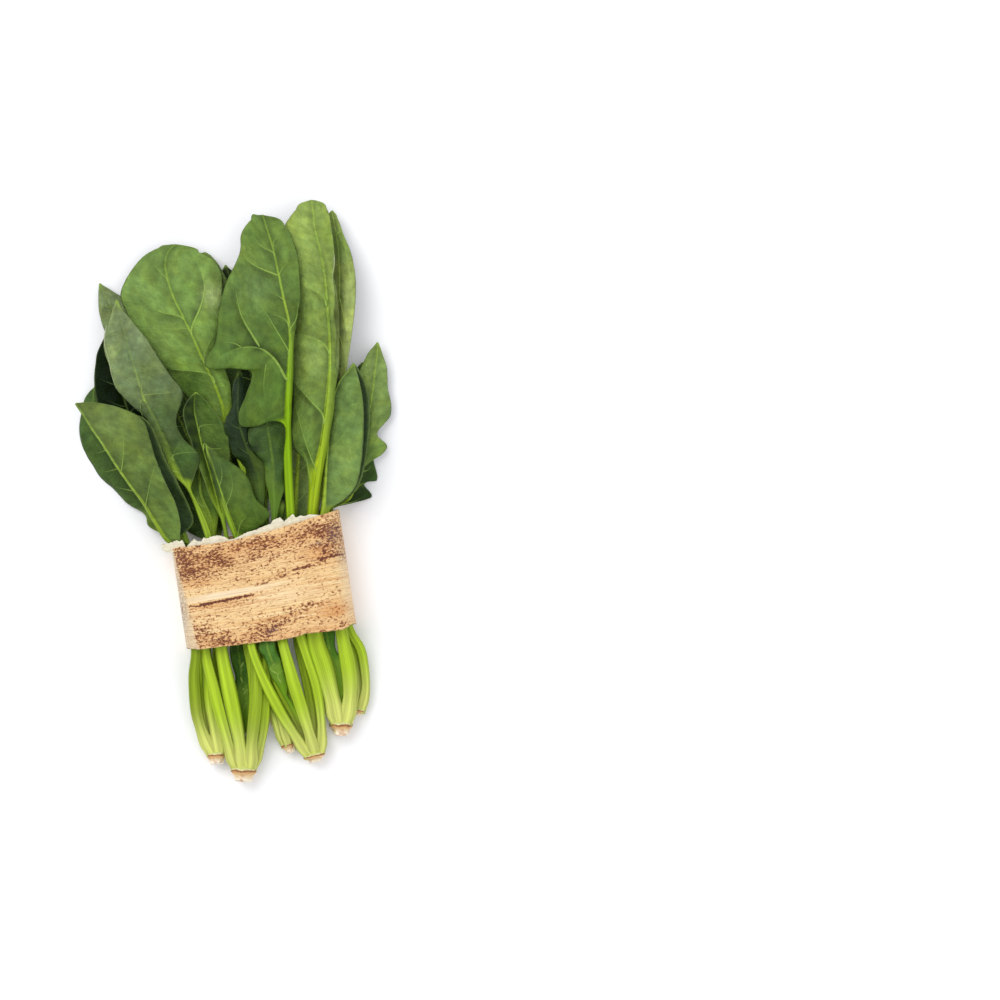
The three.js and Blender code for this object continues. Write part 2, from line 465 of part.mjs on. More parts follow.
    blade: [
      [[25.3, 34, 26], [27, 34, 26.2], [28.8, 34, 26]],
      [[18.4, 35.6, 24.6], [27, 39, 26.6], [29, 39, 26.4]],
      [[10.4, 32.8, 22.8], [27, 44, 27], [29.2, 44, 26.6]],
      [[3.4, 33.6, 21], [27.1, 48.6, 27.2], [29.6, 48.6, 26.8]],
      [[2.8, 39.6, 21], [27.3, 52, 27.4], [29.8, 52, 27]],
      [[6.2, 49, 22], [27.5, 55.6, 27.5], [29.9, 55.6, 27]],
      [[8.6, 60.4, 24.4], [27.8, 59.4, 27.6], [30, 59.4, 27]],
      [[-14, 63.2, 21.4], [28.3, 68, 27.6], [30.2, 68, 27]],
      [[-9.4, 76, 19], [28.7, 76, 27.4], [30.2, 76, 27]],
      [[-7.4, 90, 18], [27.8, 86, 27], [32, 86, 26]],
      [[-4.4, 104, 17], [25.2, 97, 26], [33.2, 97, 24.6]],
      [[2.6, 118.6, 16], [22.6, 109, 24], [33, 110, 22]],
      [[3.8, 129, 15.6], [19.8, 121.6, 21.6], [30.8, 122, 19.4]],
      [[8.6, 136.4, 15.6], [16.8, 131, 18.6], [25.6, 133, 17]],
      [[13.4, 138.7, 15.6], [14.3, 138.8, 15.6], [15.2, 138.7, 15.6]],
    ],
  },
];

const v3 = (p) => new THREE.Vector3(...p);
const mix = (a, b, t) => a.clone().lerp(b, t);

// A closed solid through rings of equal size. The middle of each end stands out a little.
function loft(rings) {
  const n = rings[0].length;
  const positions = rings.flat().flatMap((p) => [p.x, p.y, p.z]);
  const index = [];
  for (let i = 0; i + 1 < rings.length; i++)
    for (let j = 0; j < n; j++) {
      const [a, b] = [i * n + j, i * n + ((j + 1) % n)];
      // Upper and lower faces bend along the same lines, so a thin form never meets itself.
      if (j < n / 2) index.push(a, b, a + n, b, b + n, a + n);
      else index.push(a, b, b + n, a, b + n, a + n);
    }
  const ends = [[0, 1], [rings.length - 1, rings.length - 2]];
  ends.forEach(([end, next], side) => {
    const centre = rings[end].reduce((sum, p) => sum.add(p), new THREE.Vector3()).divideScalar(n);
    const inner = rings[next].reduce((sum, p) => sum.add(p), new THREE.Vector3()).divideScalar(n);
    centre.addScaledVector(centre.clone().sub(inner).normalize(), endBulge);
    positions.push(centre.x, centre.y, centre.z);
    for (let j = 0; j < n; j++) {
      const [a, b] = [end * n + j, end * n + ((j + 1) % n)];
      index.push(rings.length * n + side, side ? a : b, side ? b : a);
    }
  });
  const geometry = new THREE.BufferGeometry();
  geometry.setAttribute("position", new THREE.Float32BufferAttribute(positions, 3));
  geometry.setIndex(index);
  return geometry;
}

// A closed solid through rings that each go out along one face of a strip and back along the other.
function ribbon(rings) {
  const n = rings[0].length;
  const positions = rings.flat().flatMap((p) => [p.x, p.y, p.z]);
  const index = [];
  for (let i = 0; i + 1 < rings.length; i++)
    for (let j = 0; j < n; j++) {
      const [a, b] = [i * n + j, i * n + ((j + 1) % n)];
      index.push(a, a + n, b, b, a + n, b + n);
    }
  const last = (rings.length - 1) * n;
  for (let j = 0; j + 1 < n / 2; j++) {
    const [a, b, c, d] = [j, j + 1, n - 2 - j, n - 1 - j];
    index.push(a, b, c, a, c, d, last + a, last + c, last + b, last + a, last + d, last + c);
  }
  const geometry = new THREE.BufferGeometry();
  geometry.setAttribute("position", new THREE.Float32BufferAttribute(positions, 3));
  geometry.setIndex(index);
  return geometry;
}

// The way across a plant, level with the table, and the way it leans.
function crownFrame({ face, lean }) {
  const along = new THREE.Vector3(lean[0], lean[1], 0).normalize();
  return { face: v3(face), along, across: new THREE.Vector3(along.y, -along.x, 0) };
}

// Where a point lies in the wrap: the share of the way up, and how far off the centre line.
function wrapAt(p) {
  const [lower, upper] = [wrap.lowerEdge, wrap.upperEdge].map((edge) => edge.map((q) => v3([...q, 0])));
  const length = mix(...lower, 0.5).distanceTo(mix(...upper, 0.5));
  let share = 0.5;
  for (let i = 0; i < 5; i++) {
    const [left, right] = [0, 1].map((k) => mix(lower[k], upper[k], share));
    const across = right.clone().sub(left).normalize();
    const middle = mix(left, right, 0.5);
    const off = p.clone().sub(middle).setZ(0);
    const beyond = off.y * across.x - off.x * across.y;
    share += beyond / length;
    if (i === 4) return { share, across, off: off.dot(across), half: left.distanceTo(right) / 2 };
  }
}

// Moves a row of points sideways so that it stays between the walls of the wrap.
function tuck(row) {
  const middle = row[2];
  const { share, across, off, half } = wrapAt(middle);
  if (share < -0.1 || share > 1.04) return row;
  const reach = Math.max(...row.map((p) => Math.abs(p.clone().sub(middle).dot(across))));
  const radius = wrap.cornerRadius;
  const nearFace = Math.max(0, radius - Math.min(middle.z - 1.5, wrap.height - middle.z - 1.5));
  const inset = radius - Math.sqrt(radius ** 2 - Math.min(nearFace, radius) ** 2);
  const room = half - wrap.thickness - clearance - inset - reach;
  const shift = Math.max(-room, Math.min(room, off)) - off;
  return row.map((p) => p.clone().addScaledVector(across, shift));
}

// Five points of each ring from margin to margin, and how far the two faces stand off them.
function leafRings(leaf) {
  const crown = crownFrame(crowns[leaf.crown]);
  const foot = crown.face.clone()
    .addScaledVector(crown.across, leaf.slot[0])
    .addScaledVector(crown.along, crownGap);
  foot.z += leaf.slot[1];
  const straight = foot.clone().addScaledVector(crown.along, 3);
  const base = leaf.blade[0];
  const route = new THREE.CatmullRomCurve3(
    [foot, straight, ...leaf.stalk.map(v3), v3(base[1])], false, "centripetal");
  const baseWidth = v3(base[0]).distanceTo(v3(base[2]));
  const rings = [];
  for (let i = 0; i < stalkSteps; i++) {
    const t = i / stalkSteps;
    const centre = route.getPointAt(t);
    const along = i ? route.getTangentAt(t).setZ(0).normalize() : crown.along;
    const across = new THREE.Vector3(along.y, -along.x, 0);
    const width = t < 0.25
      ? leaf.foot + (leaf.width - leaf.foot) * (t / 0.25)
      : leaf.width + (baseWidth - leaf.width) * ((t - 0.25) / 0.75);
    const depth = stalkDepth[0] * Math.min(width, 5) + stalkDepth[1] * Math.max(0, width - 5);
    rings.push({
      row: [-0.5, -0.33, 0, 0.33, 0.5].map((s) => centre.clone().addScaledVector(across, s * width)),
      depths: [0, 0.36 * depth, 0.5 * depth, 0.36 * depth, 0],
      level: true,
    });
  }
  const endDepth = rings.at(-1).depths[2];
  leaf.blade.forEach(([left, rib, right], i) => {
    const t = i / (leaf.blade.length - 1);
    const [l, m, r] = [v3(left), v3(rib), v3(right)];
    const lift = leaf.camber * Math.sin(Math.PI * Math.min(1, t * 1.1));
    const [hl, hr] = [mix(l, m, 0.5), mix(r, m, 0.5)];
    hl.z += lift * (leaf.folded ? -1 : 1);
    hr.z += lift;
    const half = THREE.MathUtils.lerp(0.72 * endDepth, bladeThickness / 2, Math.min(1, t * 4));
    rings.push({
      row: [l, hl, m, hr, r],
      depths: [0, half, THREE.MathUtils.lerp(endDepth, ribTip / 2, t), half, 0],
      level: i === 0,
    });
  });
  return rings;
}

// The eight-point outline of every ring: five points over the top, three back underneath.
function outline(rings) {
  return rings.map(({ row, depths, level }, i) => {
    const before = rings[Math.max(0, i - 1)].row;
    const after = rings[Math.min(rings.length - 1, i + 1)].row;
    const normals = row.map((p, k) => {
      if (level) return new THREE.Vector3(0, 0, 1);
      const across = row[Math.min(4, k + 1)].clone().sub(row[Math.max(0, k - 1)]);
      const along = after[k].clone().sub(before[k]);
      return across.cross(along).normalize();
    });
    const side = (k, sign) => row[k].clone().addScaledVector(normals[k], sign * depths[k]);
    return [row[0], side(1, 1), side(2, 1), side(3, 1), row[4], side(3, -1), side(2, -1), side(1, -1)];
  });
}

// The heap so far: the height of everything already laid, on a grid of cells.
const heap = { cell: 1, x0: -90, y0: -155, columns: 180, rows: 312 };
heap.height = new Float32Array(heap.columns * heap.rows);

// Calls visit(cell, z, weights) for every cell under the triangle a, b, c.
function cellsUnder([a, b, c], visit) {
  const area = (b.x - a.x) * (c.y - a.y) - (c.x - a.x) * (b.y - a.y);
  if (Math.abs(area) < 1e-6) return;
  const reach = heap.cell * 0.75;
  const [xs, ys] = [[a.x, b.x, c.x], [a.y, b.y, c.y]];
  const column = (x) => Math.floor((x - heap.x0) / heap.cell);
  const line = (y) => Math.floor((y - heap.y0) / heap.cell);
  const [i0, i1] = [column(Math.min(...xs) - reach), column(Math.max(...xs) + reach)];
  const [j0, j1] = [line(Math.min(...ys) - reach), line(Math.max(...ys) + reach)];
  for (let j = j0; j <= j1; j++)
    for (let i = i0; i <= i1; i++) {
      const [x, y] = [heap.x0 + (i + 0.5) * heap.cell, heap.y0 + (j + 0.5) * heap.cell];
      const w1 = ((x - a.x) * (c.y - a.y) - (c.x - a.x) * (y - a.y)) / area;
      const w2 = ((b.x - a.x) * (y - a.y) - (x - a.x) * (b.y - a.y)) / area;
      const inside = [1 - w1 - w2, w1, w2].map((s) => Math.min(1, Math.max(0, s)));
      const sum = inside[0] + inside[1] + inside[2];
      const w = inside.map((s) => s / sum);
      const [px, py, pz] = ["x", "y", "z"].map((k) => w[0] * a[k] + w[1] * b[k] + w[2] * c[k]);
      if (Math.hypot(px - x, py - y) < reach) visit(j * heap.columns + i, pz, w);
    }
}

function trianglesOf(geometry) {
  const at = geometry.getAttribute("position");
  const corners = geometry.index.array;
  const found = [];
  for (let i = 0; i < corners.length; i += 3)
    found.push([0, 1, 2].map((k) => new THREE.Vector3().fromBufferAttribute(at, corners[i + k])));
  return found;
}

function addToHeap(geometry) {
  for (const triangle of trianglesOf(geometry))
    cellsUnder(triangle, (cell, z) => {
      heap.height[cell] = Math.max(heap.height[cell], z);
    });
}

// Raises the leaf's rings until it clears the heap, with no slope steeper than the two below.
function settle(leaf, rings) {
  const slopeAlong = 0.3;
  const slopeAcross = 0.22;
  const columnOf = [0, 1, 2, 3, 4, 3, 2, 1]; // the column each point of an outline belongs to
  const raise = rings.map(() => [0, 0, 0, 0, 0]);
  const raised = () => rings.map(({ row, depths, level }, i) => ({
    row: tuck(row.map((p, k) => p.clone().setZ(p.z + raise[i][k]))), depths, level,
  }));
  for (let pass = 0; pass < 80; pass++) {
    const geometry = loft(outline(raised()));
    const corners = geometry.index.array;
    const need = rings.map(() => [0, 0, 0, 0, 0]);
    let worst = 0;
    trianglesOf(geometry).forEach((triangle, f) => {
      const points = [0, 1, 2].map((k) => corners[3 * f + k]);
      if (points.every((point) => point < 16 || point >= rings.length * 8)) return;
      cellsUnder(triangle, (cell, z, w) => {
        const short = heap.height[cell] + clearance - z;
        if (short <= 0.01) return;
        worst = Math.max(worst, short);
        points.forEach((point, k) => {
          const [i, j] = [Math.floor(point / 8), columnOf[point % 8]];
          if (w[k] > 0.2 && i < rings.length) need[i][j] = Math.max(need[i][j], short);
        });
      });
    });
    if (worst < 0.05) return raised();
    need.forEach((row, i) => row.forEach((short, j) => (raise[i][j] += short)));
    for (let sweep = 0; sweep < 14; sweep++)
      for (let i = 0; i < rings.length; i++) {
        if (rings[i].level || leaf.folded) raise[i].fill(Math.max(...raise[i]));
        for (let j = 0; j < 5; j++)
          for (const [di, dj] of [[1, 0], [-1, 0], [0, 1], [0, -1]]) {
            const [p, q] = [i + di, j + dj];
            if (!rings[p] || q < 0 || q > 4) continue;
            const reach = rings[i].row[j].distanceTo(rings[p].row[q]);
            const drop = reach * (di ? slopeAlong : slopeAcross);
            raise[i][j] = Math.max(raise[i][j], raise[p][q] - drop);
          }
      }
    raise[0].fill(0);
  }
  throw new Error(leaf.name + " can't be laid clear of the heap");
}

// The collar that the stalks grow from and the cut stub of root behind it.
function crownGeometry({ face, lean, radius, stub: [stubRadius, length] }) {
  const profile = [
    [0, 0], [radius * 0.86, 0], [radius, 0.12 * length], [radius * 0.95, 0.32 * length],
    [stubRadius * 1.12, 0.55 * length], [stubRadius, 0.7 * length],
    [stubRadius * 0.86, length], [0, length],
  ];
  const geometry = new THREE.LatheGeometry(profile.map((p) => new THREE.Vector2(...p)), 18);
  const back = new THREE.Vector3(-lean[0], -lean[1], 0).normalize();
  geometry.applyQuaternion(new THREE.Quaternion().setFromUnitVectors(new THREE.Vector3(0, 1, 0), back));
  geometry.translate(...face);
  return geometry;
}

// The middle of the strip of bark as it goes round, as (off centre, up) points: from its outer end
// underneath to the right, over the top, down the left and back under, over its own outer end.
function wrapPath(half) {
  const middle = wrap.thickness / 2;
  const radius = wrap.cornerRadius - middle;
  const side = half - middle;
  const path = [[-wrap.lap / 2, middle]];
  const corner = (u, z, from) => {
    for (let i = 0; i <= 6; i++) {
      const angle = from + (i / 6) * (Math.PI / 2);
      path.push([u + radius * Math.cos(angle), z + radius * Math.sin(angle)]);
    }
  };
  corner(side - radius, middle + radius, -Math.PI / 2);
  corner(side - radius, wrap.height - middle - radius, 0);
  corner(radius - side, wrap.height - middle - radius, Math.PI / 2);
  corner(radius - side, middle + radius, Math.PI);
  const over = middle + wrap.thickness + clearance;
  path.push([-wrap.lap / 2 - 8, middle], [-wrap.lap / 2 - 2, over], [wrap.lap / 2, over]);
  return path;
}

function wrapGeometry() {
  const rings = [];
  for (let i = 0; i <= wrap.sections; i++) {
    const share = i / wrap.sections;
    const [left, right] = [0, 1].map((k) =>
      mix(v3([...wrap.lowerEdge[k], 0]), v3([...wrap.upperEdge[k], 0]), share));
    const middle = mix(left, right, 0.5);
    const across = right.clone().sub(left).normalize();
    const path = wrapPath(left.distanceTo(right) / 2);
    const face = (sign) => path.map(([u, z], k) => {
      const [a, b] = [path[Math.max(0, k - 1)], path[Math.min(path.length - 1, k + 1)]];
      const long = Math.hypot(b[0] - a[0], b[1] - a[1]);
      const stand = (sign * wrap.thickness) / 2;
      const point = middle.clone().addScaledVector(across, u + (stand * (b[1] - a[1])) / long);
      return point.setZ(z - (stand * (b[0] - a[0])) / long);
    });
    rings.push([...face(1), ...face(-1).reverse()]);
  }
  return ribbon(rings);
}

// The thinner inner ply: it hugs the underside of the wrap's top and sticks out past its upper edge
// in torn teeth. Its left end has come away and flares outward.
function plyGeometry() {
  const [left, right] = wrap.upperEdge.map((q) => v3([...q, 0]));
  const across = right.clone().sub(left).normalize();
  const out = new THREE.Vector3(-across.y, across.x, 0);
  const inset = wrap.thickness + clearance + ply.thickness;
  const half = left.distanceTo(right) / 2 - inset;
  const radius = wrap.cornerRadius - inset;
  const top = wrap.height - inset;
  const rows = [];
  for (let i = 0; i <= ply.steps; i++) {
    const share = THREE.MathUtils.lerp(ply.from, ply.to, i / ply.steps);
    const u = (2 * share - 1) * half;
    const past = Math.min(Math.max(0, Math.abs(u) - (half - radius)), radius * 0.96);
    const z = top - radius + Math.sqrt(radius ** 2 - past ** 2);
    const tooth = ply.reach + ply.tooth * (Math.sin(share * 61) + 0.7 * Math.sin(share * 137 + 1));
    const loose = ply.flare * THREE.MathUtils.smoothstep(0.14 - share, 0, 0.12);
    const at = (distance, sideways) => mix(left, right, 0.5).addScaledVector(across, u - sideways)
      .addScaledVector(out, distance).setZ(z);
    const [inner, edge, lip] = [at(-ply.depth, 0), at(0.5, 0), at(tooth, loose)];
    const raised = (p) => p.clone().setZ(p.z + ply.thickness);
    rows.push([raised(inner), raised(edge), raised(lip), lip, edge, inner]);
  }
  return ribbon(rows);
}

const bunch = new THREE.Group();
bunch.name = "spinach_bunch";

function add(name, geometry, { color, roughness }) {
  geometry.computeVertexNormals();
  const material = new THREE.MeshStandardMaterial({ color, roughness, metalness: 0 });
  const mesh = new THREE.Mesh(geometry, material);
  mesh.name = name;
  bunch.add(mesh);
}

const finishes = {
  leaf: { color: 0x6e8746, roughness: 0.6 },
  crown: { color: 0xe3c78f, roughness: 0.8 },
  bark: { color: 0xf0cc92, roughness: 0.85 },
  ply: { color: 0xe4dcc0, roughness: 0.8 },
};

for (const [key, crown] of Object.entries(crowns)) {
  const geometry = crownGeometry(crown);
  addToHeap(geometry);
  add("crown_" + key, geometry, finishes.crown);
}
for (let j = 0; j < heap.rows; j++)
  for (let i = 0; i < heap.columns; i++) {
    const p = new THREE.Vector3(heap.x0 + (i + 0.5) * heap.cell, heap.y0 + (j + 0.5) * heap.cell, 0);
    const { share, off, half } = wrapAt(p);
    const under = share > -0.03 && share < 1.03 && Math.abs(off) < half + 1;
    if (under) heap.height[j * heap.columns + i] = 2 * wrap.thickness + clearance;
  }
for (const leaf of leaves) {
  const geometry = loft(outline(settle(leaf, leafRings(leaf))));
  addToHeap(geometry);
  add(leaf.name, geometry, finishes.leaf);
}
add("wrap", wrapGeometry(), finishes.bark);
add("wrap_inner_ply", plyGeometry(), finishes.ply);

// The origin is the middle of the bunch's outline from above, on the table.
const outer = new THREE.Box3().setFromObject(bunch, true);
const centre = outer.getCenter(new THREE.Vector3());
bunch.position.set(-centre.x, -centre.y, -outer.min.z);
const part = new THREE.Group();
part.add(bunch);

export default part;
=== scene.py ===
import math
import random
from collections import defaultdict
from functools import partial
from types import SimpleNamespace

import bmesh
import bpy
import numpy as np
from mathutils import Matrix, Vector, noise


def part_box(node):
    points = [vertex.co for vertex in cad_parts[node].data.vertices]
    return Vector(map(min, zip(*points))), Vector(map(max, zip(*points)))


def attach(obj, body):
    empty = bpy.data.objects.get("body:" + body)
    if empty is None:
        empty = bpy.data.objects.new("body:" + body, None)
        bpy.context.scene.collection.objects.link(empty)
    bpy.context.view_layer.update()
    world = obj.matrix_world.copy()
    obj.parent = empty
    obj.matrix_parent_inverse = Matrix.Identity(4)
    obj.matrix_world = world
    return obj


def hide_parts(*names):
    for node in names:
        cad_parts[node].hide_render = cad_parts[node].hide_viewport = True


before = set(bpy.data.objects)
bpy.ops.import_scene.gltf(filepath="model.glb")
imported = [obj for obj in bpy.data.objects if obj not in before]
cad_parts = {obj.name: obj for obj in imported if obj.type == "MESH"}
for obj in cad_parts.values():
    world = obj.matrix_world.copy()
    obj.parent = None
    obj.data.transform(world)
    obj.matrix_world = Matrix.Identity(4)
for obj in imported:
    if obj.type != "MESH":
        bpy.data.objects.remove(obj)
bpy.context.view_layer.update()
mm = 0.001


# Small helpers for colours, nodes and meshes.
def linear(hexColour):
    channels = [int(hexColour[i:i + 2], 16) / 255 for i in (1, 3, 5)]
    return [c / 12.92 if c <= 0.04045 else ((c + 0.055) / 1.055) ** 2.4 for c in channels] + [1.0]


def tintOf(hexColour):
    return np.array(linear(hexColour)[:3])


def addNode(material, kind, inputs={}, **settings):
    # An input is a value, a socket, or a node that gives the first output it has in use.
    node = material.node_tree.nodes.new("ShaderNode" + kind)
    for name, value in settings.items():
        setattr(node, name, value)
    for name, value in inputs.items():
        if isinstance(value, bpy.types.Node):
            value = next(socket for socket in value.outputs if socket.enabled)
        if isinstance(value, bpy.types.NodeSocket):
            material.node_tree.links.new(value, node.inputs[name])
        else:
            node.inputs[name].default_value = value
    return node


def startMaterial(name):
    material = bpy.data.materials.new(name)
    material.use_nodes = True
    material.node_tree.nodes.clear()
    return material, partial(addNode, material)


def startGrid(columns, rows):
    bm = bmesh.new()
    bmesh.ops.create_grid(bm, x_segments=columns, y_segments=rows, size=1)
    for face in bm.faces:
        face.smooth = True
    return bm


def gridSpots(verts, columns, rows):
    # Each vertex of a new grid with its column and its row.
    for vertex in verts:
        yield vertex, round((vertex.co.x + 1) / 2 * columns), round((vertex.co.y + 1) / 2 * rows)


def addPiece(bm, name, material, node):
    bmesh.ops.recalc_face_normals(bm, faces=bm.faces)
    mesh = bpy.data.meshes.new(name)
    bm.to_mesh(mesh)
    bm.free()
    mesh.materials.append(material)
    piece = bpy.data.objects.new(name, mesh)
    bpy.context.scene.collection.objects.link(piece)
    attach(piece, "root")
    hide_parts(node)


def placeKey(point):
    # Vertices of a faceted solid that lie in one place share this key.
    return tuple(round(c * 1e5) for c in point)


def lengths(ways):
    return np.linalg.norm(ways, axis=-1)


def ease(x, low, high):
    t = np.clip((np.asarray(x, float) - low) / (high - low), 0, 1)
    return t * t * (3 - 2 * t)


def wobble(points, wave, seed):
    # Smooth noise from -1 to 1 at each point. wave is the length of one wave in mm.
    offset = Vector((seed * 3.7, seed * 1.9, seed * 5.3))
    values = [noise.noise(Vector(p) / (wave * mm) + offset) for p in points.reshape(-1, 3)]
    return np.array(values).reshape(points.shape[:-1])


def blend(first, last, share):
    share = np.asarray(share)[..., None]
    return first * (1 - share) + last * share


# Leaves: each is one closed sheet that runs from a ribbed stalk into a thin veined blade.
leafShape = {
    "rowStep": 1.3,        # mm between rows of the blade
    "stalkStep": 3.0,      # mm between rows of the stalk
    "columnStep": 1.3,     # mm between columns of the blade
    "blade": 0.42,         # mm thick
    "ribTip": 0.32,        # mm, half the midrib's width at the tip
    "ribHeight": 0.85,     # how far the midrib stands proud, against half its width
    "swell": 0.8,          # mm that the blade rises and falls
    "swellWave": 19.0,     # mm from one swell to the next
    "pucker": 0.42,        # mm, small dents between the veins
    "puckerWaves": (6.0, 3.0),
    "ripple": 0.45,        # mm at the margin
    "rippleWave": 3.1,     # mm that its phase takes to turn by one radian
    "veinHeight": 0.55,    # mm that the blade rises to a vein
    "veinWidth": 1.1,      # mm, half the width of that rise
    "veinGap": 13.0,       # mm between the side veins of a leaf that has none listed
    "veinRoot": 0.48,      # mm, a side vein's radius where it leaves the midrib
    "footFlare": 0.7,      # how much a stalk widens at its foot
    "fullness": 0.14,      # how much wider a stalk swells below the wrap than above it
    "gather": 0.22,        # how far a foot leans in towards the middle of its crown
    "footDepth": 2.4,      # mm that a foot runs into its crown
    "ridges": 2.4,         # lengthwise ridges on a stalk
    "stalkRings": 11,      # rings of a solid that belong to its stalk
    "lip": 0.35,           # mm of the blade that stay close to the midrib
    "overTable": 0.05,     # mm that the lowest leaves stay above the table
}

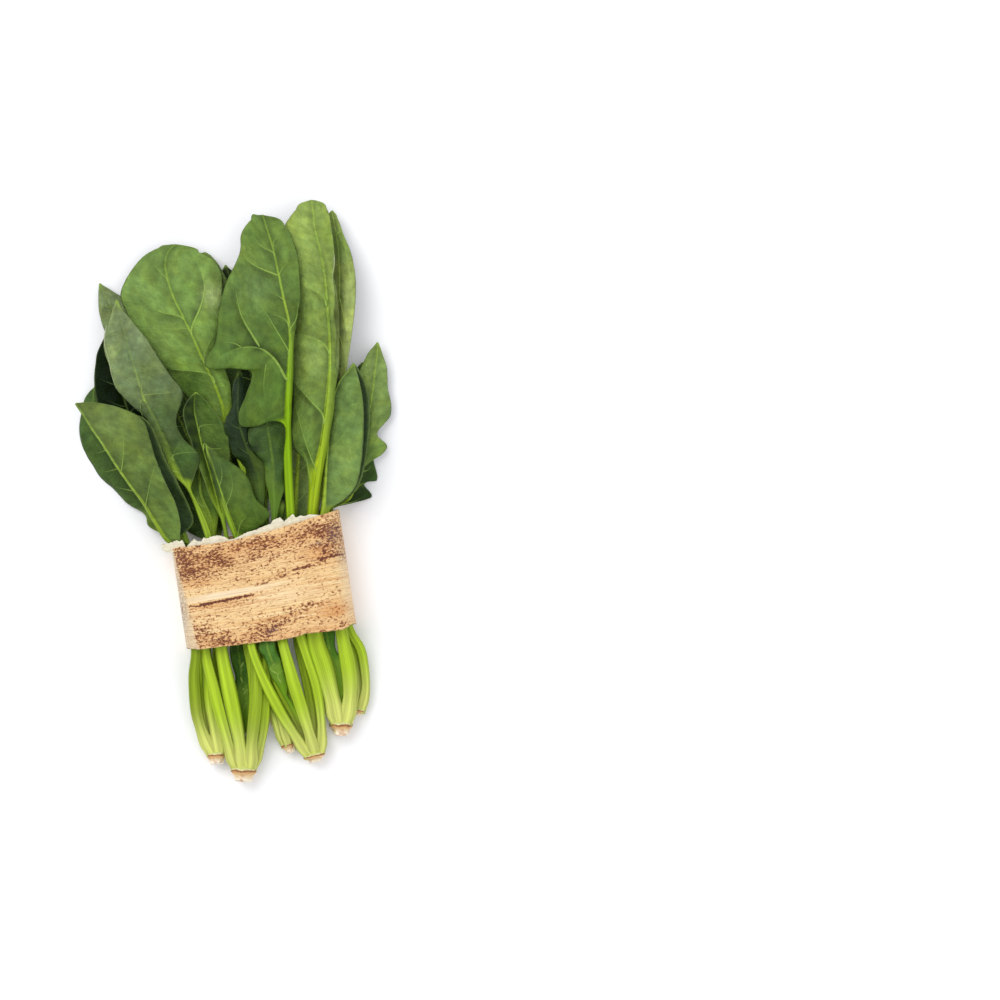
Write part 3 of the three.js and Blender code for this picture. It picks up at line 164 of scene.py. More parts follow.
# What shows of each leaf. blade: its colours near the base and the tip. stalk: where it meets the
# blade. rib: how strong the midrib is. dark: it lies with its upper side up. veins: strength, which
# side of it gets painted shade (1 right, -1 left, going outwards) and its course in mm.
# shadeAndTonePatches: a soft patch of another colour, its place and reach in mm, and its strength;
# some are the leaf's own tone, most darker ones are painted shade and most lighter ones painted
# light. rolled: a margin that shows as a pale cord, its colour a painted highlight along the curl,
# as a course in mm. crumple: how much more than usual it is creased. shaded: how light its stalk is
# under the leaves that shade it, as painted shade. broad: how much its blade widens at the base.
# roundTip: the tip is rounder than the solid's facets.
leafLooks = {
    "leaf_e5": {
        "blade": ("#4b6624", "#607b38"), "stalk": "#80a80a", "broad": 0.14, "roundTip": True,
        "veins": [
            (2.0, 1, ((26.5, 56.6), (23.6, 62.5), (20.3, 67.1), (14.1, 71.7), (4.6, 71.8), (-3.2, 68.7))),
            (1.2, -1, ((13.8, 72.0), (9.2, 79.5), (4.6, 86.7), (2.7, 94.5), (1.4, 101.1))),
            (0.9, -1, ((23.3, 107.5), (17.7, 109.6), (11.2, 112.5), (6.6, 116.1), (5.6, 119.4))),
            (0.7, -1, ((20.6, 119.4), (17.1, 120.7), (13.1, 123.3), (10.2, 127.9))),
            (0.6, -1, ((25.7, 95.3), (23.6, 97.2), (21.0, 98.1))),
            (1.0, -1, ((28.0, 84.1), (25.5, 86.4), (19.7, 88.5))),
            (0.6, 1, ((28.5, 69.7), (24.2, 76.9), (20.3, 83.4), (17.7, 88.0), (14.1, 92.6), (13.5, 98.5))),
            (0.8, -1, ((29.8, 82.1), (31.8, 85.4), (32.9, 89.3), (33.1, 96.5))),
            (0.4, 1, ((24.6, 110.9), (27.2, 113.5), (27.8, 117.4))),
            (0.5, -1, ((4.6, 71.8), (0.7, 74.3), (-5.2, 74.3))),
            (0.4, 1, ((20.3, 124.6), (22.3, 126.9), (22.9, 129.2))),
            (0.3, 1, ((17.1, 63.2), (15.9, 55.3), (16.1, 46.2))),
        ],
        "shadeAndTonePatches": [(25, 77, 5, "#4a6a28", 0.7), (12, 128, 5, "#56782f", 0.5), (2, 121, 6, "#7f9843", 0.5),
                   (12, 100, 9, "#67804a", 0.5), (-6, 68, 9, "#516f30", 0.5), (24, 52, 5, "#55782a", 0.5)],
    },
    "leaf_f1": {
        "blade": ("#54702c", "#879f4d"), "stalk": "#9ab41a", "roundTip": True,
        "veins": [
            (1.4, -1, ((46.3, 96.2), (43.9, 98.5), (39.3, 101.1), (34.0, 102.7))),
            (1.3, 1, ((47.4, 71.7), (44.5, 74.6), (40.6, 76.2), (36.0, 77.9), (31.6, 78.5))),
            (1.6, -1, ((45.9, 36.6), (44.5, 39.8), (39.4, 44.9), (34.3, 50.7), (30.4, 55.5))),
            (0.7, -1, ((40.2, 14.3), (36.9, 23.2), (33.7, 34.7), (30.6, 44.3))),
            (0.5, -1, ((44.6, 111.5), (42.5, 112.8), (39.3, 113.6))),
            (0.5, 1, ((41.8, 126.9), (37.3, 128.5), (32.4, 128.5))),
            (0.6, 1, ((38.8, 5.4), (37.8, 13.7), (35.6, 19.4), (30.5, 22.9))),
            (0.4, 1, ((47.9, 89.3), (45.8, 84.1), (43.2, 80.2))),
        ],
        "shadeAndTonePatches": [(37, 136, 9, "#8ba253", 0.6), (38, 90, 8, "#617f3c", 0.5), (40, 65, 9, "#7c9354", 0.5),
                   (48, 128, 6, "#7a963c", 0.6), (33, 107, 6, "#6c8843", 0.5)],
        "rolled": ((50.5, 118), (51, 112), (49.4, 107), (50.6, 98)),
    },
    "leaf_f3": {
        "blade": ("#a3b16a", "#8ba053"), "stalk": "#8fa93a", "roundTip": True,
        "veins": [(0.5, 1, ((54.4, 132), (57.2, 116), (59, 104))),
                  (0.6, 1, ((53.4, 98), (56.4, 84), (58.6, 74))),
                  (0.5, -1, ((53, 80), (56, 68), (58.4, 60))), (0.4, -1, ((52.6, 66), (54.4, 54)))],
        "shadeAndTonePatches": [(54, 124, 7, "#6b8c3e", 0.7), (59, 98, 7, "#96a862", 0.7), (57, 80, 7, "#92a35e", 0.6),
                   (54, 62, 6, "#68803c", 0.6)],
    },
    "leaf_b5": {
        "blade": ("#668336", "#6e8b43"), "stalk": "#87a529", "roundTip": True,
        "veins": [
            (0.9, -1, ((-27.2, 88.1), (-31.8, 88.6), (-37.5, 90.0), (-43.7, 93.8))),
            (1.5, -1, ((-21.1, 80.4), (-17.9, 87.6), (-15.0, 95.3), (-14.1, 102.9), (-15.5, 109.6),
                       (-19.3, 116.3))),
            (1.7, -1, ((-9.3, 56.5), (-12.6, 59.4), (-19.3, 60.3), (-31.3, 61.3))),
            (0.5, -1, ((-33.7, 107.2), (-37.0, 110.1), (-40.4, 114.4))),
            (0.4, 1, ((-33.5, 106.7), (-32.3, 111.5), (-29.4, 115.3))),
            (0.4, 1, ((-14.6, 67.0), (-12.6, 73.3), (-8.8, 79.0))),
            (0.4, -1, ((-23.2, 81.9), (-29.9, 80.9), (-36.6, 81.9))),
        ],
        # the light patch right of the ridge vein is painted light on that side of the fold, and the dark
        # patch low on the blade is painted shade in the fold under the bright vein there
        "shadeAndTonePatches": [(-10, 98, 7, "#93a46c", 0.7), (-20, 53, 8, "#3d5a1a", 0.85), (-47, 100, 8, "#66834a", 0.4),
                   (-35, 76, 9, "#7a9648", 0.5), (-22, 100, 5, "#5d8030", 0.4)],
    },
    "leaf_c3": {"blade": ("#3f5826", "#202f18"), "stalk": "#8aa43a", "rib": 0.4},
    "leaf_c2": {"blade": ("#5a7838", "#6e8648"), "stalk": "#8aa43a"},
    "leaf_b2": {
        "blade": ("#354a1c", "#788a5e"), "stalk": "#8aa62c", "rib": 0.25,
        "veins": [
            (0.5, 1, ((-45.4, 47.4), (-45.2, 55.1), (-45.9, 61.8))),
            (0.6, 1, ((-45.4, 48.2), (-37.5, 48.6), (-28.9, 49.5))),
            (0.4, -1, ((-45.9, 46.5), (-45.9, 38.8), (-43.7, 33.1))),
            (0.5, 1, ((-30.8, 17.8), (-24.1, 19.7), (-17.2, 19.2))),
            (0.5, -1, ((-33.2, 11.1), (-29.4, 18.7), (-25.1, 26.4))),
            (0.3, 1, ((-59.0, 67.5), (-56.5, 70.4), (-54.3, 73.3))),
        ],
        "shadeAndTonePatches": [(-52, 66, 9, "#6f8457", 0.6), (-42, 60, 7, "#455f2e", 0.5), (-34, 40, 8, "#4e6a33", 0.6),
                   (-24, 18, 7, "#48682a", 0.6)],
        "rolled": ((-63, 83), (-64.4, 74), (-61.6, 66), (-60.4, 59), (-57.4, 51)),
    },
    "leaf_a4": {"blade": ("#637a42", "#7f9160"), "stalk": "#8fa63a", "rib": 0.6},
    # its near-black tint is mostly painted shade: this leaf lies in the dark hollow between its neighbours
    "leaf_b1": {"blade": ("#0c1b05", "#0c1b05"), "stalk": "#6f8f24", "dark": True, "rib": 0.2},
    "leaf_a1": {
        "blade": ("#607a36", "#5f7336"), "stalk": "#88a625", "shaded": 0.62,
        "veins": [
            (0.5, 1, ((-54.4, 14.4), (-53.6, 21.6), (-53.8, 28.3))),
            (0.6, -1, ((-43.4, -7.1), (-42.1, -2.3), (-40.4, 5.3), (-37.8, 14.4))),
            (0.4, 1, ((-64.3, 22.6), (-67.2, 30.2), (-69.1, 35.0))),
        ],
        "shadeAndTonePatches": [(-62, 34, 9, "#677c42", 0.5), (-40, 4, 8, "#5b7436", 0.5)],
    },
    "leaf_a2": {"blade": ("#3d5420", "#47622c"), "stalk": "#90ab30", "rib": 0.5},
    "leaf_a3": {
        "blade": ("#4d6b20", "#587528"), "stalk": "#8aa62c",
        "veins": [(0.7, 1, ((-18.0, -5.8), (-17.3, -0.6), (-14.7, 6.3))),
                  (0.8, 1, ((-13.2, -13.2), (-11.6, -10.4), (-8.6, -8.6)))],
    },
    "leaf_b3": {
        "blade": ("#465c1e", "#4a6426"), "stalk": "#86a52a",
        # the four near-black patches are a strip of painted shadow down this leaf
        "shadeAndTonePatches": [(-22.5, 44, 3.5, "#1a2a14", 0.9), (-22, 37, 3.5, "#1a2a14", 0.9),
                   (-21, 30, 3.5, "#1a2a14", 0.9), (-19.5, 23, 3.5, "#1a2a14", 0.9)],
        "veins": [(0.9, -1, ((-14.7, 24.6), (-11.6, 21.2), (-7.3, 21.1), (-4.7, 21.9))),
                  (0.4, -1, ((-17.0, 32.7), (-12.2, 33.5), (-6.7, 33.1)))],
    },
    "leaf_e1": {
        "blade": ("#4a641b", "#48602a"), "stalk": "#84a526",
        "veins": [(0.5, 1, ((-3.3, -7.2), (-1.0, -2.9), (0.5, 2.3), (-0.6, 8.6))),
                  (0.8, 1, ((2.6, -21.6), (3.9, -15.5), (7.2, -12.2))),
                  (0.4, 1, ((-6.4, 2.3), (-4.7, 8.0), (-5.9, 13.2)))],
        # the first four patches are a dark strip of painted shadow
        "shadeAndTonePatches": [(-13.2, 16, 2.5, "#26361f", 0.8), (-11.8, 10, 2.5, "#26361f", 0.8),
                   (-10.4, 4, 2.5, "#26361f", 0.8), (-8.8, -3, 2.5, "#26361f", 0.7),
                   (4, 0, 6, "#5c7432", 0.5), (-6, 12, 5, "#4c6a30", 0.5)],
    },
    # leaf_b4's near-black tints are mostly painted shade, for a small leaf deep in the middle of the bunch
    "leaf_b4": {
        "blade": ("#1d300d", "#20331c"), "stalk": "#47651c", "shaded": 0.7, "dark": True, "rib": 0.15,
        "crumple": 2.5,
    },
    "leaf_e3": {
        "blade": ("#37531a", "#3d5526"), "stalk": "#55751e", "dark": True, "rib": 0.2, "crumple": 2.5,
        # these near-black patches are a strip of painted shadow down the gap beside this leaf
        "shadeAndTonePatches": [(11.2, 21, 3.2, "#1a2a17", 0.85), (12.8, 14, 3.2, "#1a2a17", 0.85),
                   (13.6, 6, 3, "#1a2a17", 0.85), (14.4, -2, 3, "#1a2a17", 0.8)],
    },
    # leaf_e4's near-black tints are mostly painted shade, for a small leaf deep in the middle of the bunch
    "leaf_e4": {
        "blade": ("#122106", "#111f05"), "stalk": "#3f5c18", "dark": True, "rib": 0.2, "crumple": 2.5,
    },
    "leaf_f2": {
        "blade": ("#6d8a46", "#668240"), "stalk": "#9ab334",
        "veins": [(0.5, -1, ((47.2, 21.0), (52.2, 23.9), (56.8, 30.3))),
                  (0.4, -1, ((47.8, 48.1), (50.6, 50.2), (53.8, 51.9))),
                  (0.3, -1, ((59.2, 43.0), (62, 43.8), (64.6, 44.3)))],
        "shadeAndTonePatches": [(52, 30, 8, "#5f7c3a", 0.5), (58, 14, 8, "#76924e", 0.5)],
    },
    "leaf_g1": {
        "blade": ("#67853a", "#7f9850"), "stalk": "#90ac34",
        "veins": [(0.4, 1, ((68.9, 31.9), (70.4, 34.7), (72.3, 37.3))),
                  (0.3, 1, ((70.4, 47.5), (73.4, 47.6), (76.5, 47.4))),
                  (0.3, 1, ((70.0, 55.1), (72.2, 55.3), (74.5, 55.1)))],
        "shadeAndTonePatches": [(66, 18, 6, "#4d6b26", 0.6)],
    },
    "leaf_g2": {"blade": ("#233b0c", "#456426"), "stalk": "#8aa62c"},
    "young_leaf_b": {
        "blade": ("#3c6414", "#40681c"), "stalk": "#6f9a1a", "rib": 0.3, "crumple": 3.5,
        "veins": [(1.2, 1, ((5.5, -84.7), (4.6, -88.5), (3.1, -92.4))),
                  (0.9, 1, ((3.1, -92.4), (4.2, -96), (7.8, -94.5))),
                  (0.9, -1, ((4.5, -98.6), (6.2, -100.4), (7.8, -100.5))),
                  (0.8, 1, ((7.8, -98), (6.4, -103), (5.9, -105.8))),
                  (0.7, 1, ((5.9, -105.8), (7.4, -107.6), (7.8, -109.6)))],
    },
    "young_leaf_e": {
        "blade": ("#4c7a26", "#446c24"), "stalk": "#6f9a1a", "rib": 0.4, "crumple": 2.5,
        "veins": [(1.0, 1, ((18.4, -88.6), (20.4, -86.4), (22.9, -85.1))),
                  (0.9, 1, ((22.0, -92.4), (23.9, -89.9), (26.4, -89.5)))],
    },
    "young_leaf_f": {"blade": ("#5a8a26", "#4a7a20"), "stalk": "#7fa524", "rib": 0.5, "crumple": 3.0},
    "leaf_e2": {"blade": ("#6b8446", "#8fa25a"), "stalk": "#86a22e"},
    "other": {"blade": ("#3a5220", "#4c6630"), "stalk": "#86a22e", "rib": 0.6},
}
tissue = {
    "foot": "#d2d872",          # the blanched foot of a stalk
    "stalk": "#adcb2e",
    "midrib": "#8cab3e",
    "sideVein": "#8fae4e",
    "veinOnDark": "#4a6430",
    "upperSide": "#2b4020",
    "lowerSide": "#5f7839",
    # the pale colour of a rolled margin is a painted highlight along its curl
    "rolledEdgeHighlight": "#a3ad86",
    "edge": "#7d9058",          # the thin margin of a blade
}


def ringsOf(name):
    # The rings of eight points of a leaf's solid, foot first: five over the face that shows, from
    # the left margin to the right one, and three back underneath. Every ring has one point that
    # touches three points of the ring before, the left margin, and one that touches one, the right.
    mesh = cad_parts[name].data
    places, points, corner = {}, [], []
    for vertex in mesh.vertices:
        key = placeKey(vertex.co)
        if key not in places:
            places[key] = len(points)
            points.append(vertex.co.copy())
        corner.append(places[key])
    near = defaultdict(set)
    for face in mesh.polygons:
        ids = [corner[i] for i in face.vertices]
        for a, b in zip(ids, ids[1:] + ids[:1]):
            near[a].add(b)
            near[b].add(a)
    ends = sorted((i for i in near if len(near[i]) == 8), key=lambda i: points[i].y)
    levels, seen = [], {ends[0]}
    front = set(near[ends[0]])
    while len(front) == 8:
        levels.append(front)
        seen |= front
        front = set().union(*(near[i] for i in front)) - seen

    def lap(level, start, second):
        order = [start, second]
        while len(order) < 8:
            order.append(next(i for i in near[order[-1]] if i in level and i not in order))
        return order

    rings = []
    for k, level in enumerate(levels):
        if k:
            start = next(i for i in level if len(near[i] & levels[k - 1]) == 3)
            second = next(i for i in near[start] & level if rings[-1][1] in near[i])
            rings.append(lap(level, start, second))
        else:
            start = next(i for i in level if len(near[i] & levels[1]) == 1)
            ways = [lap(level, start, second) for second in near[start] & level]
            rings.append(max(ways, key=lambda order: points[order[2]].z))
    return np.array([[points[i] for i in ring] for ring in rings])


def throughRings(rails):
    # A smooth curve down each rail: five points for each fine row, and the ring it lies after.
    padded = np.concatenate([[2 * rails[0] - rails[1]], rails, [2 * rails[-1] - rails[-2]]])
    rows, stations = [], []
    for i in range(len(rails) - 1):
        p0, p1, p2, p3 = padded[i:i + 4]
        step = leafShape["rowStep" if i >= leafShape["stalkRings"] - 1 else "stalkStep"]
        count = max(1, math.ceil(lengths(p2 - p1).max() / (step * mm)))
        k1, k2, k3 = (np.maximum(lengths(way), 1e-5)[:, None] ** 0.5 for way in (p1 - p0, p2 - p1, p3 - p2))
        m1 = ((p2 - p1) / k2 - (p2 - p0) / (k1 + k2) + (p1 - p0) / k1) * k2
        m2 = ((p3 - p2) / k3 - (p3 - p1) / (k2 + k3) + (p2 - p1) / k2) * k2
        for f in np.arange(count) / count:
            rows.append((2 * f**3 - 3 * f**2 + 1) * p1 + (f**3 - 2 * f**2 + f) * m1
                        + (3 * f**2 - 2 * f**3) * p2 + (f**3 - f**2) * m2)
            stations.append(i + f)
    return np.array(rows + [rails[-1]]), np.array(stations + [len(rails) - 1.0])


def widened(rows, factor):
    return rows[:, 2:3] + (rows - rows[:, 2:3]) * factor[:, None, None]


def roundedTip(rows, stations):
    # Fills the last ring's reach out towards a half ellipse.
    t = np.clip(stations - stations[-1] + 1, 0, 1)
    wide = lengths(rows[:, 4] - rows[:, 0])
    start = wide[t == 0][-1]
    ellipse = start * np.sqrt(1 - t ** 2 * (1 - (wide[-1] / start) ** 2))
    return widened(rows, np.where(t > 0, 1 + 0.8 * np.clip(ellipse / wide - 1, 0, 1), 1))


def leafSheet(rings, look, gather):
    # The middle surface of a leaf as a grid of points, with where each lies, in mm and in shares.
    pairs = ((0, 0), (1, 7), (2, 6), (3, 5), (4, 4))
    rails = np.stack([(rings[:, over] + rings[:, under]) / 2 for over, under in pairs], axis=1)
    rows, stations = throughRings(rails)
    footWay = (rows[0] - rows[1])[2]
    foot = rows[:1] + footWay / np.linalg.norm(footWay) * leafShape["footDepth"] * mm
    rows, stations = np.concatenate([foot, rows]), np.concatenate([[-0.1], stations])
    run = np.concatenate([[0], np.cumsum(lengths(np.diff(rows[:, 2], axis=0)))]) / mm
    flare = 1 + leafShape["footFlare"] * (1 - ease(run, 2, 17))
    flare = flare + leafShape["fullness"] * (1 - ease(run, 30, 60))
    flare = flare + look.get("broad", 0) * ease(run, 50, 62) * (1 - ease(stations, 9, 11))
    rows = widened(rows, flare)
    if look.get("roundTip"):
        rows = roundedTip(rows, stations)
    # the feet of a plant close in on its crown
    rows[:, :, 0] += (gather - rows[:, :, 0]) * (leafShape["gather"] * (1 - ease(run, 0, 9)) ** 2)[:, None]
    middle = rows[:, 2].copy()
    halves = np.stack([lengths(rows[:, inner] - rows[:, edge]) + lengths(middle - rows[:, inner])
                       for edge, inner in ((0, 1), (4, 3))]) / mm
    base = int(np.argmax(stations >= leafShape["stalkRings"] - 1))
    share = (run - run[base]) / (run[-1] - run[base])
    stalkHalf = float(halves[:, max(0, base - 3)].mean())
    rib = leafShape["ribTip"] + (stalkHalf - leafShape["ribTip"]) * np.exp(-3.2 * np.clip(share, 0, 1))
    rib = np.where(share <= 0, halves.mean(axis=0), rib)

    # columns: close together on the midrib, even on the blade, and round a bare stalk
    side = 5 + math.ceil(np.sort(halves.max(axis=0))[-3] / leafShape["columnStep"])
    columns = np.zeros((2, len(rows), side + 1))
    around = np.sin(np.linspace(0, math.pi / 2, side + 1))
    for h in range(2):
        inner = np.minimum(rib / halves[h], 1)[:, None]
        lip = np.minimum(inner + leafShape["lip"] / halves[h][:, None], 0.5 + 0.5 * inner)
        flat = np.concatenate([inner * np.array([0, 0.4, 0.8, 1.0]),
                               lip + (1 - lip) * np.linspace(0, 1, side - 3)], axis=1)
        spread = ease(halves[h] - rib, 0.1, 2.5)[:, None]
        columns[h] = around * (1 - spread) + flat * spread
        columns[h][:, -1] = 1

    def half(h, edge, halfway):
        w = columns[h][:, :, None]
        return (middle[:, None] * (1 - w) * (1 - 2 * w) + halfway[:, None] * 4 * w * (1 - w)
                + edge[:, None] * w * (2 * w - 1))

    def acrossBoth(left, right):
        return np.concatenate([left[:, ::-1], right[:, 1:]], axis=1)

    places = acrossBoth(half(0, rows[:, 0], rows[:, 1]), half(1, rows[:, 4], rows[:, 3]))
    normal = np.cross(np.gradient(places, axis=1), np.gradient(places, axis=0))
    normal /= np.maximum(lengths(normal), 1e-12)[..., None]
    reach = acrossBoth(*(np.repeat(h[:, None], side + 1, 1) for h in halves))
    away = acrossBoth(*columns)
    deep = lengths(rings[:, 2] - rings[:, 6]) / 2 / mm
    deep = np.interp(stations, np.arange(len(rings)), deep) * (1 + 0.25 * (flare - 1))
    return SimpleNamespace(
        places=places, normal=normal, away=away, reach=reach, off=away * reach, columns=columns,
        sign=np.sign(np.arange(-side, side + 1))[None, :], side=side, halves=halves, run=run[:, None],
        share=share[:, None], rib=rib[:, None], deep=deep[:, None], length=run[-1] - run[base],
        stalkLength=run[base])


def rounded(line):
    # Cuts the corners of a course three times.
    line = np.array(line, float)
    for _ in range(3):
        cut = np.stack([0.75 * line[:-1] + 0.25 * line[1:], 0.25 * line[:-1] + 0.75 * line[1:]], axis=1)
        line = np.concatenate([line[:1], cut.reshape(-1, line.shape[1]), line[-1:]])
    return line


def laidOn(line, sheet):
    # Lays a level course on the part of the sheet that lies highest.
    points = sheet.places.reshape(-1, 3)
    laid = []
    for x, y in rounded(line) * mm:
        apart = np.hypot(points[:, 0] - x, points[:, 1] - y)
        near = np.flatnonzero(apart < max(2.2 * mm, np.sort(apart)[3]))
        near = near[points[near, 2] > points[near, 2].max() - 1.5 * mm]
        weight = 1 / (apart[near] + 0.1 * mm) ** 2
        laid.append((x, y, float((points[near, 2] * weight).sum() / weight.sum())))
    return np.array(laid)


def rooted(line, sheet):
    # Starts a vein on the midrib, a little way down, where it comes close to it.
    ribLine = sheet.places[:, sheet.side] / mm
    apart = np.hypot(*(ribLine[:, :2] - line[0]).T)
    farOff = 99
    near = int(np.argmin(apart + farOff * (sheet.share[:, 0] < 0)))
    if not 0.3 < apart[near] < 6:
        return line
    start = ribLine[max(near - 3, 0)]
    return ((start[0], start[1]),) + tuple(line)


def sideVeins(look, sheet, rng):
    # Every side vein as its strength, its shaded side and the points it runs through.
    if "veins" in look:
        return [(strength, shadedSide, laidOn(rooted(line, sheet), sheet))
                for strength, shadedSide, line in look["veins"]]
    veins, steps, smoothings = [], 16, 6
    rowAt = partial(np.interp, xp=sheet.share[:, 0], fp=np.arange(len(sheet.share)))
    for h in range(2):
        share = rng.uniform(0.06, 0.14)
        while share < 0.88 and sheet.length > 2 * leafShape["veinGap"]:
            gap = leafShape["veinGap"] / sheet.length * rng.uniform(0.8, 1.2)
            line = []
            for w in np.linspace(0.02, rng.uniform(0.6, 0.85), steps):
                at = share + gap * 1.1 * (1.1 - share) * w ** 1.3
                row = min(int(rowAt(at)), len(sheet.share) - 1)
                column = np.interp(w, sheet.columns[h][row], np.arange(sheet.side + 1))
                exact = sheet.side + (1 if h else -1) * column
                low = int(exact)
                high = min(low + 1, sheet.places.shape[1] - 1)
                first, second = sheet.places[row, low], sheet.places[row, high]
                line.append(first * (1 - exact + low) + second * (exact - low))
            line = np.array(line)
            for _ in range(smoothings):
                line[1:-1] = (line[:-2] + 2 * line[1:-1] + line[2:]) / 4
            if sheet.halves[h][int(rowAt(share))] > 6:
                veins.append((rng.uniform(0.4, 0.75), 1 if h else -1, line))
            share += gap
    return veins


def beside(points, line):
    # How far each point lies from a course, in mm, on which side of it, and how far along.
    best = np.full(points.shape[:-1], np.inf)
    along, side = np.zeros(best.shape), np.zeros(best.shape)
    for k, (a, b) in enumerate(zip(line[:-1], line[1:])):
        way = b - a
        t = np.clip((points - a) @ way / max(way @ way, 1e-12), 0, 1)
        gap = points - a - t[..., None] * way
        apart = lengths(gap) / mm
        closer = apart < best
        best = np.where(closer, apart, best)
        along = np.where(closer, (k + t) / (len(line) - 1), along)
        side = np.where(closer, np.sign(way[1] * gap[..., 0] - way[0] * gap[..., 1]), side)
    return best, side, along


def leafRelief(sheet, look, veins, seed):
    # How far the blade lies above its middle surface, in mm, and how much each point is shaded.
    onBlade = ease(sheet.reach - sheet.rib, 1.5, 6) * ease(sheet.share, -0.02, 0.06)
    onBlade = np.maximum(onBlade, ease(sheet.share, 0.3, 0.5) * ease(sheet.reach, 0, 3))
    loose = onBlade * ease(sheet.off - sheet.rib, 0.5, 5.0) * ease(sheet.reach - sheet.rib, 1.5, 6)
    broad = wobble(sheet.places, leafShape["swellWave"], seed)
    small = wobble(sheet.places, leafShape["puckerWaves"][0], seed + 5)
    fine = wobble(sheet.places, leafShape["puckerWaves"][1], seed + 9)
    crumple = look.get("crumple", 1.0)
    lift = leafShape["swell"] * broad * loose + leafShape["pucker"] * crumple * (small + 0.45 * fine) * loose
    phase = sheet.share * sheet.length / leafShape["rippleWave"] + seed + 2.2 * broad + 1.7 * sheet.sign
    atMargin = ease(sheet.away, 0.55, 1.0) * onBlade
    atMargin = atMargin * ease(sheet.share, 0.02, 0.2) * ease(1.02 - sheet.share, 0, 0.15)
    lift = lift + leafShape["ripple"] * crumple * np.sin(phase) * atMargin
    shade = 1 + 0.24 * small * loose + 0.16 * broad * loose
    for strength, shadedSide, line in veins:
        apart, side, along = beside(sheet.places, line)
        fade = strength * (1 - 0.75 * along) * loose
        inShade, inLight = fade * (side == shadedSide), fade * (side != shadedSide)
        lift = lift + fade * leafShape["veinHeight"] * np.exp(-(apart / leafShape["veinWidth"]) ** 2)
        lift = lift - 0.5 * inShade * ease(apart, 0.3, 1.8) * np.exp(-(apart / 4) ** 2)
        # painted shade on the vein's shaded side and painted light on the other side
        shade = shade * (1 - 0.5 * inShade * ease(apart, 0.1, 0.8) * np.exp(-(apart / 3.2) ** 2))
        shade = shade * (1 + 0.2 * inLight * np.exp(-(apart / 3.5) ** 2))
    return onBlade, lift, shade


def leafTints(sheet, look, onBlade, shade, ridge):
    # The colours of the face that shows, with painted shade and painted light laid into it, and of the other
    # one.
    foot, stalk, midrib = (tintOf(tissue[key]) for key in ("foot", "stalk", "midrib"))
    stalkTint = blend(foot, stalk, ease(sheet.run, 4, 34))
    stalkTint = blend(stalkTint, tintOf(look["stalk"]), ease(sheet.run / sheet.stalkLength, 0.35, 0.95))
    stalkTint = stalkTint * (1 - (1 - look.get("shaded", 1)) * ease(sheet.run, 6, 26)[:, :, None])
    # painted light along the stalk's ridges and painted shade towards its sides, where the round stalk turns
    # away
    stalkTint = stalkTint * (1 + 0.14 * ridge - 0.3 * sheet.away ** 3)[:, :, None]
    ribTint = blend(stalkTint, midrib, ease(sheet.share, 0.05, 0.6))
    strength = look.get("rib", 1.0)
    fade = 1 - 0.65 * ease(sheet.share, 0.45, 1)
    onRib = np.maximum((1 - ease(sheet.off / sheet.rib, 0.85, 1.3)) * strength * fade, 1 - onBlade)
    # painted shade on the blade along the sides of the raised midrib
    ribSideShade = 1 - 0.26 * strength * np.exp(-((sheet.off - sheet.rib) / 2.5) ** 2) * (sheet.off > sheet.rib)
    x, y = sheet.places[:, :, 0] / mm, sheet.places[:, :, 1] / mm
    bladeWithPaintedShade = blend(*(tintOf(c) for c in look["blade"]), ease(sheet.share, 0, 1)) * np.ones_like(sheet.places)
    # soft patches of other colours: some are the leaf's own tone, most darker and lighter ones are painted
    # shade and painted light
    for across, up, reach, colour, amount in look.get("shadeAndTonePatches", []):
        share = amount * np.exp(-((x - across) ** 2 + (y - up) ** 2) / reach ** 2)
        bladeWithPaintedShade = blend(bladeWithPaintedShade, tintOf(colour), share)
    # the blade darkened and lightened by the painted shade and light of its relief, its veins and the sides
    # of its midrib
    bladeWithPaintedShade = bladeWithPaintedShade * (shade * ribSideShade)[:, :, None]
    showing = blend(bladeWithPaintedShade, ribTint, onRib)
    hidden = blend(tintOf(tissue["lowerSide" if look.get("dark") else "upperSide"]), ribTint * 0.8, onRib)
    return showing, blend(hidden, showing, 1 - ease(sheet.reach - sheet.off, 0, 1.6))


